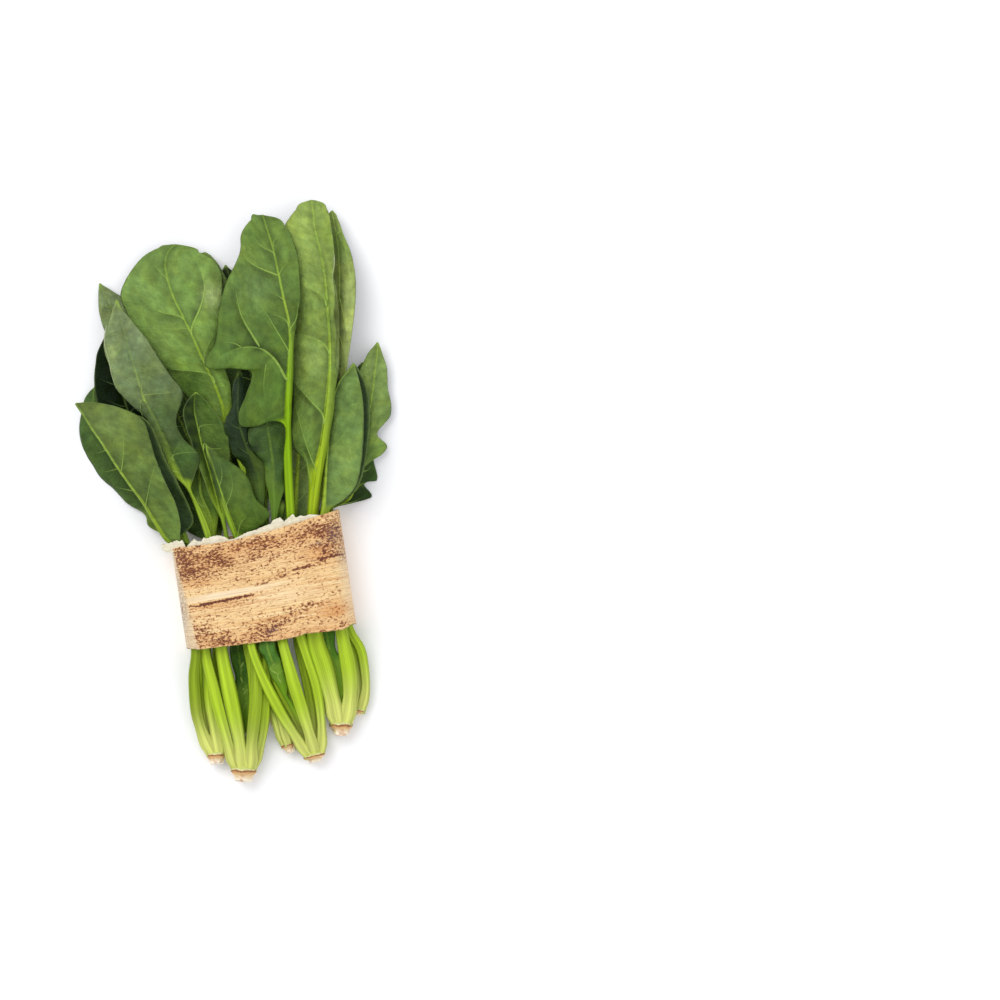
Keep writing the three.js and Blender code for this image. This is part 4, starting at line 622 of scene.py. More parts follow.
def buildLeaf(name, material):
    look = leafLooks.get(name, leafLooks["other"])
    seed = sum(ord(c) * (i + 1) for i, c in enumerate(name)) % 97
    low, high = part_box("crown_" + (name[-1] if "young" in name else name[-2]))
    sheet = leafSheet(ringsOf(name), look, (low[0] + high[0]) / 2)
    veins = sideVeins(look, sheet, random.Random(seed))
    onBlade, lift, shade = leafRelief(sheet, look, veins, seed)
    ridge = np.cos(math.pi * (leafShape["ridges"] * sheet.sign * sheet.away + seed * 0.37))
    showing, hidden = leafTints(sheet, look, onBlade, shade, ridge)

    # how far both faces stand off the middle of the sheet
    ribShape = np.sqrt(np.clip(1 - (sheet.off / sheet.rib) ** 2, 0, 1))
    ribUp = np.minimum(sheet.rib * leafShape["ribHeight"], sheet.deep) * look.get("rib", 1.0)
    bladeHalf = leafShape["blade"] / 2 * np.clip(1 - sheet.away ** 8, 0, 1) ** 0.5
    stalkness = 1 - ease(sheet.reach - sheet.rib, 0.0, 2.0)
    roundness = sheet.deep * np.sqrt(np.clip(1 - sheet.away ** 2, 0, 1))
    groove = 1 - 0.3 * np.exp(-(sheet.away / 0.3) ** 2)
    up = stalkness * roundness * (1 + 0.07 * ridge) + (1 - stalkness) * (bladeHalf + ribUp * ribShape)
    down = stalkness * roundness * groove + (1 - stalkness) * (bladeHalf + 0.25 * ribUp * ribShape)
    top = sheet.places + sheet.normal * ((lift + up) * mm)[:, :, None]
    bottom = sheet.places + sheet.normal * ((lift - down) * mm)[:, :, None]

    # the grid goes round the sheet: over the face that shows, then back under it
    def bothFaces(over, under):
        return np.concatenate([over, under[:, ::-1][:, 1:]], axis=1)

    places, tints = bothFaces(top, bottom), bothFaces(showing, hidden)
    full = np.ones_like(sheet.away)
    off, along = sheet.sign * sheet.off, full * sheet.share * sheet.length
    dark = full * bool(look.get("dark"))
    maps = np.stack([off, along, full * seed], axis=2)
    forms = np.stack([onBlade, sheet.reach - sheet.off, dark], axis=2)
    maps, forms = (bothFaces(values, values) for values in (maps, forms))
    size = (places.shape[1] - 1, len(places) - 1)
    bm = startGrid(*size)
    leafMap = bm.verts.layers.float_vector.new("leafMap")   # mm off the midrib, mm along, a seed
    formMap = bm.verts.layers.float_vector.new("formMap")   # stalk 0 to blade 1, mm from the margin, dark
    tint = bm.verts.layers.float_color.new("tint")
    for vertex, c, r in gridSpots(bm.verts, *size):
        vertex.co = places[r, c]
        vertex.co.z = max(vertex.co.z, leafShape["overTable"] * mm)
        vertex[leafMap], vertex[formMap] = maps[r, c], forms[r, c]
        vertex[tint] = (*tints[r, c], 1)
    bmesh.ops.remove_doubles(bm, verts=bm.verts, dist=1e-7)
    bmesh.ops.holes_fill(bm, edges=[e for e in bm.edges if e.is_boundary], sides=0)

    # tapering cords along the side veins, half sunk in the blade
    points, stand = sheet.places.reshape(-1, 3), (top - sheet.places).reshape(-1, 3)
    colours = showing.reshape(-1, 3)
    veinTint = tintOf(tissue["veinOnDark" if look.get("dark") else "sideVein"])
    courses = [(leafShape["veinRoot"] * strength ** 0.7, line, veinTint, 0.85) for strength, _, line in veins]
    # a rolled margin as a pale cord, coloured as a painted highlight
    if "rolled" in look:
        courses.append((0.3, laidOn(look["rolled"], sheet), tintOf(tissue["rolledEdgeHighlight"]), 0.6))
    for size, line, start, taper in courses:
        spots, shades = [], []
        ways = np.arange(len(line)) / (len(line) - 1)
        for way, point in zip(ways, line):
            apart = lengths(points - point)
            near = np.argsort(apart)[:4]
            weight = 1 / (apart[near] + 0.05 * mm)
            spots.append(Vector(point + (stand[near] * weight[:, None]).sum(axis=0) / weight.sum()))
            shades.append(start * (1 - way * taper) + colours[near[0]] * way * taper)
        sizes = size * mm * (1 - taper * ways) * (0.4 + 0.6 * ease(ways, 0, 0.2))
        addCord(bm, spots, sizes, shades, (leafMap, formMap, tint))
    for face in bm.faces:
        face.smooth = True
    addPiece(bm, "fine_" + name, material, name)


def addCord(bm, line, sizes, shades, layers):
    leafMap, formMap, tint = layers
    last = len(line) - 1
    made = bmesh.ops.create_grid(bm, x_segments=6, y_segments=last, size=1)["verts"]
    for vertex in made:
        k = round((vertex.co.y + 1) / 2 * last)
        angle = (vertex.co.x + 1) * math.pi
        along = (line[min(k + 1, last)] - line[max(k - 1, 0)]).normalized()
        across = along.cross(Vector((0, 0, 1))).normalized()
        over = across.cross(along)
        flat = across * math.cos(angle) * 1.3 + over * math.sin(angle) * 0.7
        vertex.co = line[k] + flat * sizes[k]
        vertex[leafMap], vertex[formMap] = (0, k, 0), (0.5, 9, 0)
        vertex[tint] = (*shades[k], 1)
    bmesh.ops.remove_doubles(bm, verts=made, dist=1e-7)
    rims = {e for v in made if v.is_valid for e in v.link_edges if e.is_boundary}
    bmesh.ops.holes_fill(bm, edges=list(rims), sides=0)


def leafMaterial():
    # The skin of a fresh spinach leaf: satin and a little waxy on the face, dull beneath, with soft
    # mottling and fine wrinkles across the blade, and long pale cells down the stalk. The tint of
    # stalk, midrib and blade comes from the mesh, with its painted shade and painted light, and the
    # patterns are laid out in mm.
    material, node = startMaterial("spinach skin, satin with soft wrinkles")
    tint = node("Attribute", attribute_name="tint").outputs["Color"]
    place = node("Attribute", attribute_name="leafMap").outputs["Vector"]
    form = node("Attribute", attribute_name="formMap").outputs["Vector"]
    blade, lip, dark = node("SeparateXYZ", {0: form}).outputs
    pattern = {}
    for name, stretch, scale, detail, distortion in (
            ("broad", (1, 1, 1), 0.06, 2.0, 0.0),          # 17 mm patches
            ("yellow", (1, 1, 1), 0.11, 3.0, 0.6),         # 9 mm patches
            ("patchy", (1, 1, 1), 0.3, 4.0, 0.0),          # 3 mm mottling
            ("pores", (1, 1, 1), 1.4, 2.0, 0.0),           # 0.7 mm grain
            ("wrinkle", (0.11, 0.5, 1), 1.0, 3.0, 0.8),    # 2 mm folds
            ("streak", (2.6, 0.035, 1), 1.0, 3.0, 0.0)):   # 0.4 mm cells along the stalk
        where = node("VectorMath", {0: place, 1: stretch}, operation="MULTIPLY")
        pattern[name] = node("TexNoise", {"Vector": where, "Scale": scale, "Detail": detail,
                                          "Distortion": distortion})
    strayed = node("TexNoise", {"Vector": place, "Scale": 0.25, "Detail": 2.0}).outputs["Color"]
    strayed = node("VectorMath", {0: strayed, 1: (7.0, 7.0, 0.0), 2: place}, operation="MULTIPLY_ADD")
    net = node("TexVoronoi", {"Vector": strayed, "Scale": 0.2}, feature="DISTANCE_TO_EDGE")    # 5 mm cells
    netLine = node("MapRange", {"Value": net, "From Max": 0.07, "To Min": 1.0, "To Max": 0.0})

    middle = {"From Min": 0.3, "From Max": 0.7}    # the range that most of a noise lies in
    tone = 1.0
    for name, least, most in (("broad", 0.86, 1.14), ("patchy", 0.8, 1.2), ("wrinkle", 0.97, 1.03),
                              ("pores", 0.92, 1.08)):
        share = node("MapRange", {"Value": pattern[name], **middle, "To Min": least, "To Max": most})
        tone = node("Math", {0: tone, 1: share}, operation="MULTIPLY")
    tone = node("Mix", {0: blade, 2: 1.0, 3: tone}, data_type="FLOAT")
    colour = node("VectorMath", {0: tint, 3: tone}, operation="SCALE")
    warm = node("VectorMath", {0: colour, 1: (1.28, 1.12, 0.7)}, operation="MULTIPLY")
    warmth = node("MapRange", {"Value": pattern["yellow"], "From Min": 0.42, "From Max": 0.72,
                               "To Max": 0.55})
    warmth = node("Math", {0: warmth, 1: blade}, operation="MULTIPLY")
    colour = node("Mix", {0: warmth, 6: colour, 7: warm}, data_type="RGBA")
    netTone = node("Math", {0: netLine, 1: 0.13, 2: 1.0}, operation="MULTIPLY_ADD")
    netTone = node("Mix", {0: blade, 2: 1.0, 3: netTone}, data_type="FLOAT")
    colour = node("VectorMath", {0: colour, 3: netTone}, operation="SCALE")
    rim = node("MapRange", {"Value": lip, "From Min": 0.1, "From Max": 0.8, "To Min": 0.35, "To Max": 0.0})
    rim = node("Math", {0: rim, 1: blade}, operation="MULTIPLY")
    colour = node("Mix", {0: rim, 6: colour, 7: linear(tissue["edge"])}, data_type="RGBA")
    streakTone = node("MapRange", {"Value": pattern["streak"], **middle, "To Min": 0.84, "To Max": 1.14})
    stalkTone = node("Mix", {0: blade, 2: streakTone, 3: 1.0}, data_type="FLOAT")
    colour = node("VectorMath", {0: colour, 3: stalkTone}, operation="SCALE")

    height = 0.0
    for part, share in ((pattern["patchy"], 1.8), (pattern["wrinkle"], 0.6), (netLine, 0.3),
                        (pattern["pores"], 0.3)):
        height = node("Math", {0: part, 1: share, 2: height}, operation="MULTIPLY_ADD")
    height = node("Mix", {0: blade, 2: pattern["streak"], 3: height}, data_type="FLOAT")
    bump = node("Bump", {"Height": height, "Distance": 0.6 * mm, "Strength": 0.7})
    # roughness: underside, then upper side, then stalk
    rough = node("MapRange", {"Value": pattern["pores"], **middle, "To Min": 0.46, "To Max": 0.6})
    rough = node("Mix", {0: dark, 2: rough, 3: 0.44}, data_type="FLOAT")
    rough = node("Mix", {0: blade, 2: 0.38, 3: rough}, data_type="FLOAT")
    # the darkest leaves are dull, the rest have a slight sheen
    sheen = node("MapRange", {"Value": tint, "From Min": 0.005, "From Max": 0.02,
                              "To Min": 0.03, "To Max": 0.2})
    shader = node("BsdfPrincipled", {"Base Color": colour, "Roughness": rough, "Normal": bump, "IOR": 1.4,
                                     "Specular IOR Level": sheen})
    node("OutputMaterial", {"Surface": shader})
    return material


leafSkin = leafMaterial()
for name in sorted(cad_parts):
    if "leaf" in name:
        buildLeaf(name, leafSkin)
print("leaves done")


# Crowns: the base of each plant, with the skin left round the neck and the root cut off square.
crownShape = {
    "rings": 40,
    "around": 72,
    "heart": 3.5,          # mm that the heart reaches up between the stalks
    "skinRagged": 0.35,    # mm
    "cutTilt": 0.5,        # mm that the cut is out of square
    # from the green foot over a thin torn brown ring and the papery skin to the cut flesh
    "bands": ((0.28, "#cdd57c"), (0.38, "#e6dfa6"), (0.43, "#8b5a33"), (0.49, "#a8703f"), (0.56, "#e4b679"),
              (0.72, "#efcf9b"), (0.86, "#f3dcb0"), (0.92, "#fdf1d8")),
    "tan": "#c98a50",
}


def fillRamp(ramp, bands):
    # Gives a colour ramp its bands, as places and colours in order.
    (ramp.elements[0].position, first), (ramp.elements[1].position, last) = bands[0], bands[-1]
    ramp.elements[0].color, ramp.elements[1].color = linear(first), linear(last)
    for position, shade in bands[1:-1]:
        ramp.elements.new(position).color = linear(shade)


def crownMaterial():
    # The root collar: papery tan skin over firm cream flesh that was cut with a knife.
    material, node = startMaterial("root collar, dry skin and cut flesh")
    place = node("TexCoord").outputs["Object"]
    part = node("SeparateXYZ", {0: node("Attribute", attribute_name="crownMap").outputs["Vector"]})
    fibre = node("TexNoise", {"Vector": place, "Scale": 900.0, "Detail": 3.0})    # 1 mm fibres
    patch = node("TexNoise", {"Vector": place, "Scale": 350.0, "Detail": 3.0})    # 3 mm patches
    stray = node("MapRange", {"Value": patch, "To Min": -0.12, "To Max": 0.12})
    edge = node("Math", {0: part, 1: stray}, operation="ADD")
    bands = node("ValToRGB", {0: edge})
    fillRamp(bands.color_ramp, crownShape["bands"])
    tan = node("MapRange", {"Value": patch, "From Min": 0.5, "From Max": 0.66, "To Max": 0.6})
    onSkin = node("MapRange", {"Value": edge, "From Min": 0.44, "From Max": 0.5})
    tan = node("Math", {0: tan, 1: onSkin}, operation="MULTIPLY")
    flesh = node("MapRange", {"Value": fibre, "From Min": 0.35, "From Max": 0.65,
                              "To Min": 0.92, "To Max": 1.05})
    colour = node("Mix", {0: tan, 6: bands, 7: linear(crownShape["tan"])}, data_type="RGBA")
    colour = node("VectorMath", {0: colour, 3: flesh}, operation="SCALE")
    bump = node("Bump", {"Height": fibre, "Distance": 0.6 * mm, "Strength": 0.8})
    shader = node("BsdfPrincipled", {"Base Color": colour, "Roughness": 0.62, "IOR": 1.4, "Normal": bump})
    node("OutputMaterial", {"Surface": shader})
    return material


def buildCrown(name, material):
    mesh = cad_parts[name].data
    points = np.array([vertex.co for vertex in mesh.vertices])
    uses = defaultdict(int)
    for face in mesh.polygons:
        for i in face.vertices:
            uses[placeKey(mesh.vertices[i].co)] += 1
    poles = sorted(uses, key=uses.get)[-2:]
    a, b = sorted((Vector(k) / 1e5 for k in poles), key=lambda p: -p.y)   # face among the stalks, cut end
    axis = (b - a).normalized()
    length = (b - a).length
    spread = points - np.array(a)
    along = spread @ np.array(axis)
    out = lengths(spread - along[:, None] * np.array(axis))
    radius = out.max()
    cut = out[along > length * 0.98].max()
    side = axis.cross(Vector((0, 0, 1))).normalized()
    over = side.cross(axis)
    seed = ord(name[-1])
    heart = crownShape["heart"] * mm
    profile = [(-heart, 0.0), (-heart * 0.7, radius * 0.25), (-heart * 0.3, radius * 0.5),
               (0.0, radius * 0.72), (0.14 * length, radius * 0.95), (0.3 * length, radius * 0.97),
               (0.44 * length, radius * 0.86), (0.52 * length, cut * 1.16), (0.66 * length, cut * 1.06),
               (0.8 * length, cut * 1.02), (0.96 * length, cut), (length, cut * 0.92), (length, 0.0)]
    at = np.linspace(0, len(profile) - 1, crownShape["rings"])
    down, wide = (np.interp(at, range(len(profile)), values) for values in zip(*profile))
    around, rings = crownShape["around"], crownShape["rings"] - 1
    bm = startGrid(around, rings)
    crownMap = bm.verts.layers.float_vector.new("crownMap")   # 0 heart, 0.3 to 0.85 skin, 1 cut flesh
    for vertex, c, r in gridSpots(bm.verts, around, rings):
        angle = 2 * math.pi * (c % around) / around
        way = side * math.cos(angle) + over * math.sin(angle)
        ridge = 0.05 * math.cos(5 * angle + seed) + 0.03 * math.cos(11 * angle + 2 * seed)
        rough = noise.noise(Vector((math.cos(angle) * 2, math.sin(angle) * 2, down[r] / mm / 1.5 + seed)))
        rough = rough * crownShape["skinRagged"] * mm * min(1, wide[r] / (radius * 0.3))
        onCut = (down[r] > 0.9 * length) * min(1, wide[r] / cut)
        tilt = crownShape["cutTilt"] * mm * math.sin(angle + seed) * onCut
        vertex.co = a + axis * (down[r] - abs(tilt)) + way * max(wide[r] * (1 + ridge) + rough, 0)
        vertex[crownMap] = (float(np.interp(down[r] / length, [-0.6, 0.0, 0.3, 0.5, 0.62, 1.0],
                                            [0.0, 0.25, 0.5, 0.7, 0.86, 1.0])), 0, 0)
    bmesh.ops.remove_doubles(bm, verts=bm.verts, dist=1e-6)
    addPiece(bm, "fine_" + name, material, name)


rootCollar = crownMaterial()
for name in sorted(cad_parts):
    if name.startswith("crown_"):
        buildCrown(name, rootCollar)
print("crowns done")


# The wrap: one strip of dried banana bark, folded round the stalks and lapped underneath.
wrapShape = {
    "thickness": 1.2,                              # mm
    "height": 27.0,
    "cornerRadius": 9.0,
    "lowerEdge": ((-23.0, -79.2), (61.5, -66.6)),  # its corners seen from above, left then right
    "upperEdge": ((-30.5, -28.2), (52.9, -9.2)),
    "lap": 26.0,           # mm
    "lift": (2.0, 8.0),    # mm before the lap over which the upper end climbs
    "gap": 0.5,            # mm between its ends where they lap
    "rows": 96,
    "step": 1.3,           # mm between columns
    "wave": 0.45,          # mm that the strip buckles
    "creaseTop": 0.014,    # the crease at the left, as shares of the way across
    "creaseFoot": 0.08,
    "facetSlope": 0.3,
    "fray": 0.45,          # mm at the two long edges
    # how far the two long edges stray from straight, in mm, at shares of the way across
    "upperBow": ((0.0, 0.0), (0.2, -2.2), (0.38, -3.2), (0.7, -2.1), (0.9, -0.6), (1.0, 0.2)),
    "lowerBow": ((0.0, 1.2), (0.07, -0.4), (0.3, -1.1), (0.5, -1.8), (0.62, -1.7), (0.7, -0.5), (0.8, -0.9),
                 (0.93, -1.2), (1.0, 1.6)),
}

# Marks on the top of the wrap: share across, share up, half width, half height, strength.
barkMarks = {
    "rustAndCreaseShade": [(0.08, 0.95, 0.14, 0.1, 0.9), (0.07, 0.8, 0.1, 0.1, 1.0), (0.12, 0.68, 0.1, 0.06, 0.6),
             (0.27, 0.88, 0.05, 0.08, 0.9), (0.2, 0.78, 0.2, 0.14, 0.55), (0.45, 0.93, 0.12, 0.06, 0.8),
             (0.55, 0.86, 0.07, 0.07, 0.9), (0.68, 0.9, 0.08, 0.06, 0.6), (0.82, 0.88, 0.09, 0.09, 1.0),
             (0.93, 0.86, 0.08, 0.14, 1.1), (0.97, 0.68, 0.05, 0.1, 0.7), (0.85, 0.7, 0.08, 0.04, 0.5),
             (0.5, 0.76, 0.4, 0.05, 0.35), (0.5, 0.5, 0.07, 0.012, 1.2), (0.62, 0.53, 0.07, 0.012, 1.6),
             (0.75, 0.57, 0.08, 0.012, 2.2), (0.92, 0.62, 0.1, 0.012, 2.3), (0.86, 0.6, 0.02, 0.02, 1.8),
             (0.5, 0.84, 0.6, 0.18, 0.4), (0.4, 0.12, 0.6, 0.12, 0.3), (0.5, 0.6, 0.7, 0.3, 0.2),
             (0.9, 0.66, 0.06, 0.012, 1.0), (0.2, 0.405, 0.16, 0.011, 3.4), (0.38, 0.415, 0.12, 0.01, 2.4),
             (0.3, 0.38, 0.2, 0.025, 0.5), (0.05, 0.15, 0.06, 0.1, 0.9), (0.16, 0.1, 0.1, 0.08, 0.8),
             (0.12, 0.3, 0.12, 0.06, 0.35), (0.25, 0.05, 0.15, 0.05, 0.7), (0.45, 0.1, 0.08, 0.07, 0.9),
             (0.53, 0.1, 0.05, 0.05, 0.9), (0.62, 0.17, 0.08, 0.05, 1.0), (0.72, 0.22, 0.07, 0.04, 1.0),
             (0.8, 0.24, 0.05, 0.03, 0.7), (0.9, 0.3, 0.06, 0.04, 0.5), (0.93, 0.1, 0.08, 0.08, 0.6),
             (0.5, 0.02, 0.6, 0.025, 0.6)],
    "pale": [(0.27, 0.465, 0.3, 0.03, 1.1), (0.0, 0.1, 0.05, 0.25, 1.0), (0.0, 0.4, 0.038, 0.2, 1.0),
             (0.0, 0.7, 0.025, 0.2, 1.0), (0.98, 0.35, 0.035, 0.3, 0.5),
             (0.62, 0.36, 0.2, 0.07, 0.35)],
    "warm": [(0.86, 0.66, 0.1, 0.08, 0.8), (0.9, 0.17, 0.12, 0.08, 0.8), (0.12, 0.62, 0.12, 0.05, 0.5),
             (0.5, 0.03, 0.5, 0.05, 0.6), (0.28, 0.36, 0.18, 0.05, 0.4), (0.25, 0.85, 0.35, 0.16, 0.55),
             (0.7, 0.88, 0.3, 0.12, 0.4)],
    # dark grey marks: the small ones are bruises, the long ones at the left and right edges painted shade
    # where the strip turns down
    "bruiseAndEdgeShade": [(0.95, 0.8, 0.04, 0.1, 0.9), (0.86, 0.76, 0.02, 0.02, 1.0), (0.535, 0.1, 0.02, 0.02, 1.0),
              (0.5, 0.08, 0.02, 0.02, 0.9), (0.0, 0.25, 0.03, 0.25, 0.7), (0.98, 0.6, 0.03, 0.1, 0.6)],
}


def stripPath(half):
    # The middle of the strip as (off centre, up) in mm, from its outer end underneath to the right,
    # over the top, down the left and back under, over its own outer end.
    middle = wrapShape["thickness"] / 2
    radius = wrapShape["cornerRadius"] - middle
    side = half - middle
    height = wrapShape["height"]
    path = [(-wrapShape["lap"] / 2, middle)]
    for u, z, start in ((side - radius, middle + radius, -90), (side - radius, height - middle - radius, 0),
                        (radius - side, height - middle - radius, 90), (radius - side, middle + radius, 180)):
        for i in range(13):
            angle = math.radians(start + i * 7.5)
            path.append((u + radius * math.cos(angle), z + radius * math.sin(angle)))
    over = middle + wrapShape["thickness"] + wrapShape["gap"]
    lap = wrapShape["lap"] / 2
    path += [(-lap - wrapShape["lift"][1], middle), (-lap - wrapShape["lift"][0], over), (lap, over)]
    return np.array(path)


def barkMaterial():
    # Dried banana-stem bark: a hard waxy skin with fibres along the strip, cream to tan, flecked and
    # blotched with rust brown where the plant has bruised, with painted shade at its crease and turned-down
    # edges.
    material, node = startMaterial("banana bark, dried and waxy")
    place = node("Attribute", attribute_name="barkMap").outputs["Vector"]
    bruiseAndEdgeShade = node("SeparateXYZ", {0: place}).outputs["Z"]
    tones = node("Attribute", attribute_name="barkTone").outputs["Vector"]
    rustAndCreaseShade, pale, warm = node("SeparateXYZ", {0: tones}).outputs
    pattern = {}
    for name, along, across, seed, detail, roughness in (
            ("fibres", 0.03, 1.1, 1.0, 4.0, 0.5),      # 1 mm fibres
            ("threads", 0.05, 2.8, 2.0, 3.0, 0.5),     # 0.4 mm threads
            ("dashes", 0.22, 2.0, 7.0, 3.0, 0.6),      # short flecks, 4 mm long
            ("bands", 0.012, 0.16, 3.0, 2.0, 0.5),     # 6 mm bands
            ("specks", 0.62, 0.95, 4.0, 4.0, 0.66),    # 1 mm specks
            ("patches", 0.14, 0.24, 5.0, 2.0, 0.5)):   # 5 mm clusters of them
        where = node("VectorMath", {0: place, 1: (along, across, 0), 2: (0, 0, seed)},
                     operation="MULTIPLY_ADD")
        pattern[name] = node("TexNoise", {"Vector": where, "Scale": 1.0, "Detail": detail,
                                          "Roughness": roughness})

    # rust: more and larger specks where the bark is marked, and a line of painted shade along the crease
    level = pattern["specks"]
    for value, share in ((rustAndCreaseShade, 0.105), (pattern["patches"], 0.3), (pale, -0.12)):
        level = node("Math", {0: value, 1: share, 2: level}, operation="MULTIPLY_ADD")
    flecks = node("Math", {0: pale, 1: -0.12, 2: pattern["dashes"]}, operation="MULTIPLY_ADD")
    bruiseAndShadeMask = node("MapRange", {"Value": pattern["specks"], "From Min": 0.35, "From Max": 0.6, "To Max": 0.8})
    # coats of colour, each over the last: where it starts and is full, how strong, its colour
    colour = node("ValToRGB", {0: pattern["fibres"]})
    fillRamp(colour.color_ramp, ((0.3, "#cf965a"), (0.48, "#efc586"), (0.66, "#fbdfa8")))
    for value, low, high, amount, shade in (
            (pattern["bands"], 0.4, 0.66, 0.6, "#f4d296"),
            (warm, 0, 10 / 7, 1, "#d58f48"), (pale, 0, 1.25, 1, "#f4dfb9"),
            (pattern["threads"], 0.54, 0.7, 0.5, "#a86e3e"), (flecks, 0.56, 0.66, 0.75, "#8f5230"),
            (level, 0.68, 0.78, 0.55, "#c98549"), (level, 0.76, 0.82, 0.82, "#87401f"),
            (level, 0.83, 0.9, 0.8, "#511f10")):
        coat = node("MapRange", {"Value": value, "From Min": low, "From Max": high, "To Max": amount})
        colour = node("Mix", {0: coat, 6: colour, 7: linear(shade)}, data_type="RGBA")
    # the dark grey-purple coat: bruises, and painted shade at the turned-down edges
    bruiseAndShadeMask = node("Math", {0: bruiseAndEdgeShade, 1: bruiseAndShadeMask}, operation="MULTIPLY", use_clamp=True)
    colour = node("Mix", {0: bruiseAndShadeMask, 6: colour, 7: linear("#5c4a52")}, data_type="RGBA")
    marked = {"Value": level, "From Min": 0.76, "From Max": 0.9}
    pit = node("MapRange", {**marked, "To Max": -0.7})
    height = node("Math", {0: pattern["threads"], 1: 0.6, 2: pattern["fibres"]}, operation="MULTIPLY_ADD")
    height = node("Math", {0: height, 1: pit}, operation="ADD")
    bump = node("Bump", {"Height": height, "Distance": 0.5 * mm, "Strength": 0.7})
    rough = node("MapRange", {**marked, "To Min": 0.46, "To Max": 0.64})
    shader = node("BsdfPrincipled", {"Base Color": colour, "Roughness": rough, "IOR": 1.45, "Normal": bump})
    node("OutputMaterial", {"Surface": shader})
    return material


def markedBy(marks, across, up, sharpness):
    total = np.zeros_like(across)
    for a, b, wide, high, strength in marks:
        total = total + strength * np.exp(-((across - a) / wide) ** 2 - ((up - b) / high) ** sharpness)
    strongest = 3.6
    return np.clip(total, 0, strongest)


def wrapGrid(lower, upper):
    # The strip's outer and inner skin as rings of points in mm, with the share of the way across,
    # the share of the way up and the mm along the strip of each.
    shape = wrapShape
    rows, maps, count = [], [], None
    for share in np.arange(shape["rows"] + 1) / shape["rows"]:
        left, right = (lower[k].lerp(upper[k], share) for k in (0, 1))
        half = (right - left).length / 2
        path = stripPath(half)
        steps = np.concatenate([[0], np.cumsum(lengths(np.diff(path, axis=0)))])
        count = count or round(steps[-1] / shape["step"])
        at = np.linspace(0, steps[-1], count + 1)
        strip = np.stack([np.interp(at, steps, path[:, k]) for k in (0, 1)], axis=1)
        tangent = np.gradient(strip, axis=0)
        tangent /= lengths(tangent)[:, None]
        outward = np.stack([tangent[:, 1], -tangent[:, 0]], axis=1) * shape["thickness"] / 2
        ring = np.concatenate([strip + outward, (strip - outward)[::-1]])
        centre, across = np.array((left + right) / 2), np.array((right - left).normalized())
        rows.append(centre + ring[:, :1] * across + ring[:, 1:] * np.array([0, 0, 1]))
        sides = np.stack([(strip[:, 0] / half + 1) / 2, np.full(count + 1, share), at], axis=1)
        maps.append(np.concatenate([sides, sides[::-1]]))
    return np.array(rows), np.array(maps)


def buildWrap(material):
    shape = wrapShape
    lower, upper = ([Vector((*p, 0)) for p in shape[key]] for key in ("lowerEdge", "upperEdge"))
    axis = np.array((upper[0] - lower[0] + upper[1] - lower[1]).normalized())
    grid, maps = wrapGrid(lower, upper)
    grid *= mm
    across, up = maps[:, :, 0], maps[:, :, 1]
    long, width = (upper[1] - upper[0]).length, (upper[0] + upper[1] - lower[0] - lower[1]).length / 2
    onTop = ease(grid[:, :, 2] / mm, 6, 22)
    buckle = wobble(grid, 22, 3) + 0.4 * wobble(grid, 9, 4)
    grid[:, :, 2] += buckle * shape["wave"] * mm * ease(grid[:, :, 2] / mm, 18, 25)
    flat = grid * [1, 0.02, 1]
    fray = (wobble(flat, 2.6, 8) + 0.5 * wobble(flat, 0.9, 9)) * shape["fray"]
    bows = [np.interp(across, *zip(*shape[key])) * (0.3 + 0.7 * onTop) for key in ("upperBow", "lowerBow")]
    stray = bows[0] * ease(up, 0.55, 1) + bows[1] * (1 - ease(up, 0, 0.4))
    stray = stray + fray * ease(up, 0.985, 1) - fray * (1 - ease(up, 0, 0.015))
    grid += (stray * mm)[:, :, None] * axis
    # a narrow facet, turned down along a crease, at the left
    crease = shape["creaseTop"] + (shape["creaseFoot"] - shape["creaseTop"]) * (1 - up)
    facet = (1 - ease(across, crease - 0.008, crease + 0.004)) * ease(across, -0.01, 0.0)
    grid[:, :, 2] -= np.maximum(crease - across, 0) * long * shape["facetSlope"] * onTop * mm
    tone = {key: markedBy(marks, across, up, 6 if key == "pale" else 2) * onTop
            for key, marks in barkMarks.items()}
    # a thin line of painted shade along the crease, carried in the rust marks
    rim = np.exp(-((across - crease) / 0.006) ** 2) * onTop
    tone["pale"] = np.maximum(tone["pale"], facet * 0.8)
    tone["rustAndCreaseShade"] = tone["rustAndCreaseShade"] * (1 - 0.8 * facet) + 0.8 * rim
    # painted shade on the turned-down facet at the left
    tone["bruiseAndEdgeShade"] += facet * onTop * (0.5 + 0.5 * wobble(grid, 12, 12))
    tone["rustAndCreaseShade"] += 0.5 * (1 - onTop) * (wobble(grid, 14, 6) + 0.35)

    around = grid.shape[1]
    bm = startGrid(around, shape["rows"])
    barkMap = bm.verts.layers.float_vector.new("barkMap")     # mm along the fibre, mm across it, bruises and painted shade at the turned-down edges
    barkTone = bm.verts.layers.float_vector.new("barkTone")   # rust with the painted shade of the crease, pale, warm
    for vertex, c, r in gridSpots(bm.verts, around, shape["rows"]):
        c %= around
        vertex.co = grid[r, c]
        vertex[barkMap] = (maps[r, c, 2], up[r, c] * width, tone["bruiseAndEdgeShade"][r, c])
        vertex[barkTone] = [tone[key][r, c] for key in ("rustAndCreaseShade", "pale", "warm")]
    bmesh.ops.remove_doubles(bm, verts=bm.verts, dist=1e-6)
    capWrapEdges(bm)
    addPiece(bm, "fine_wrap", material, "wrap")


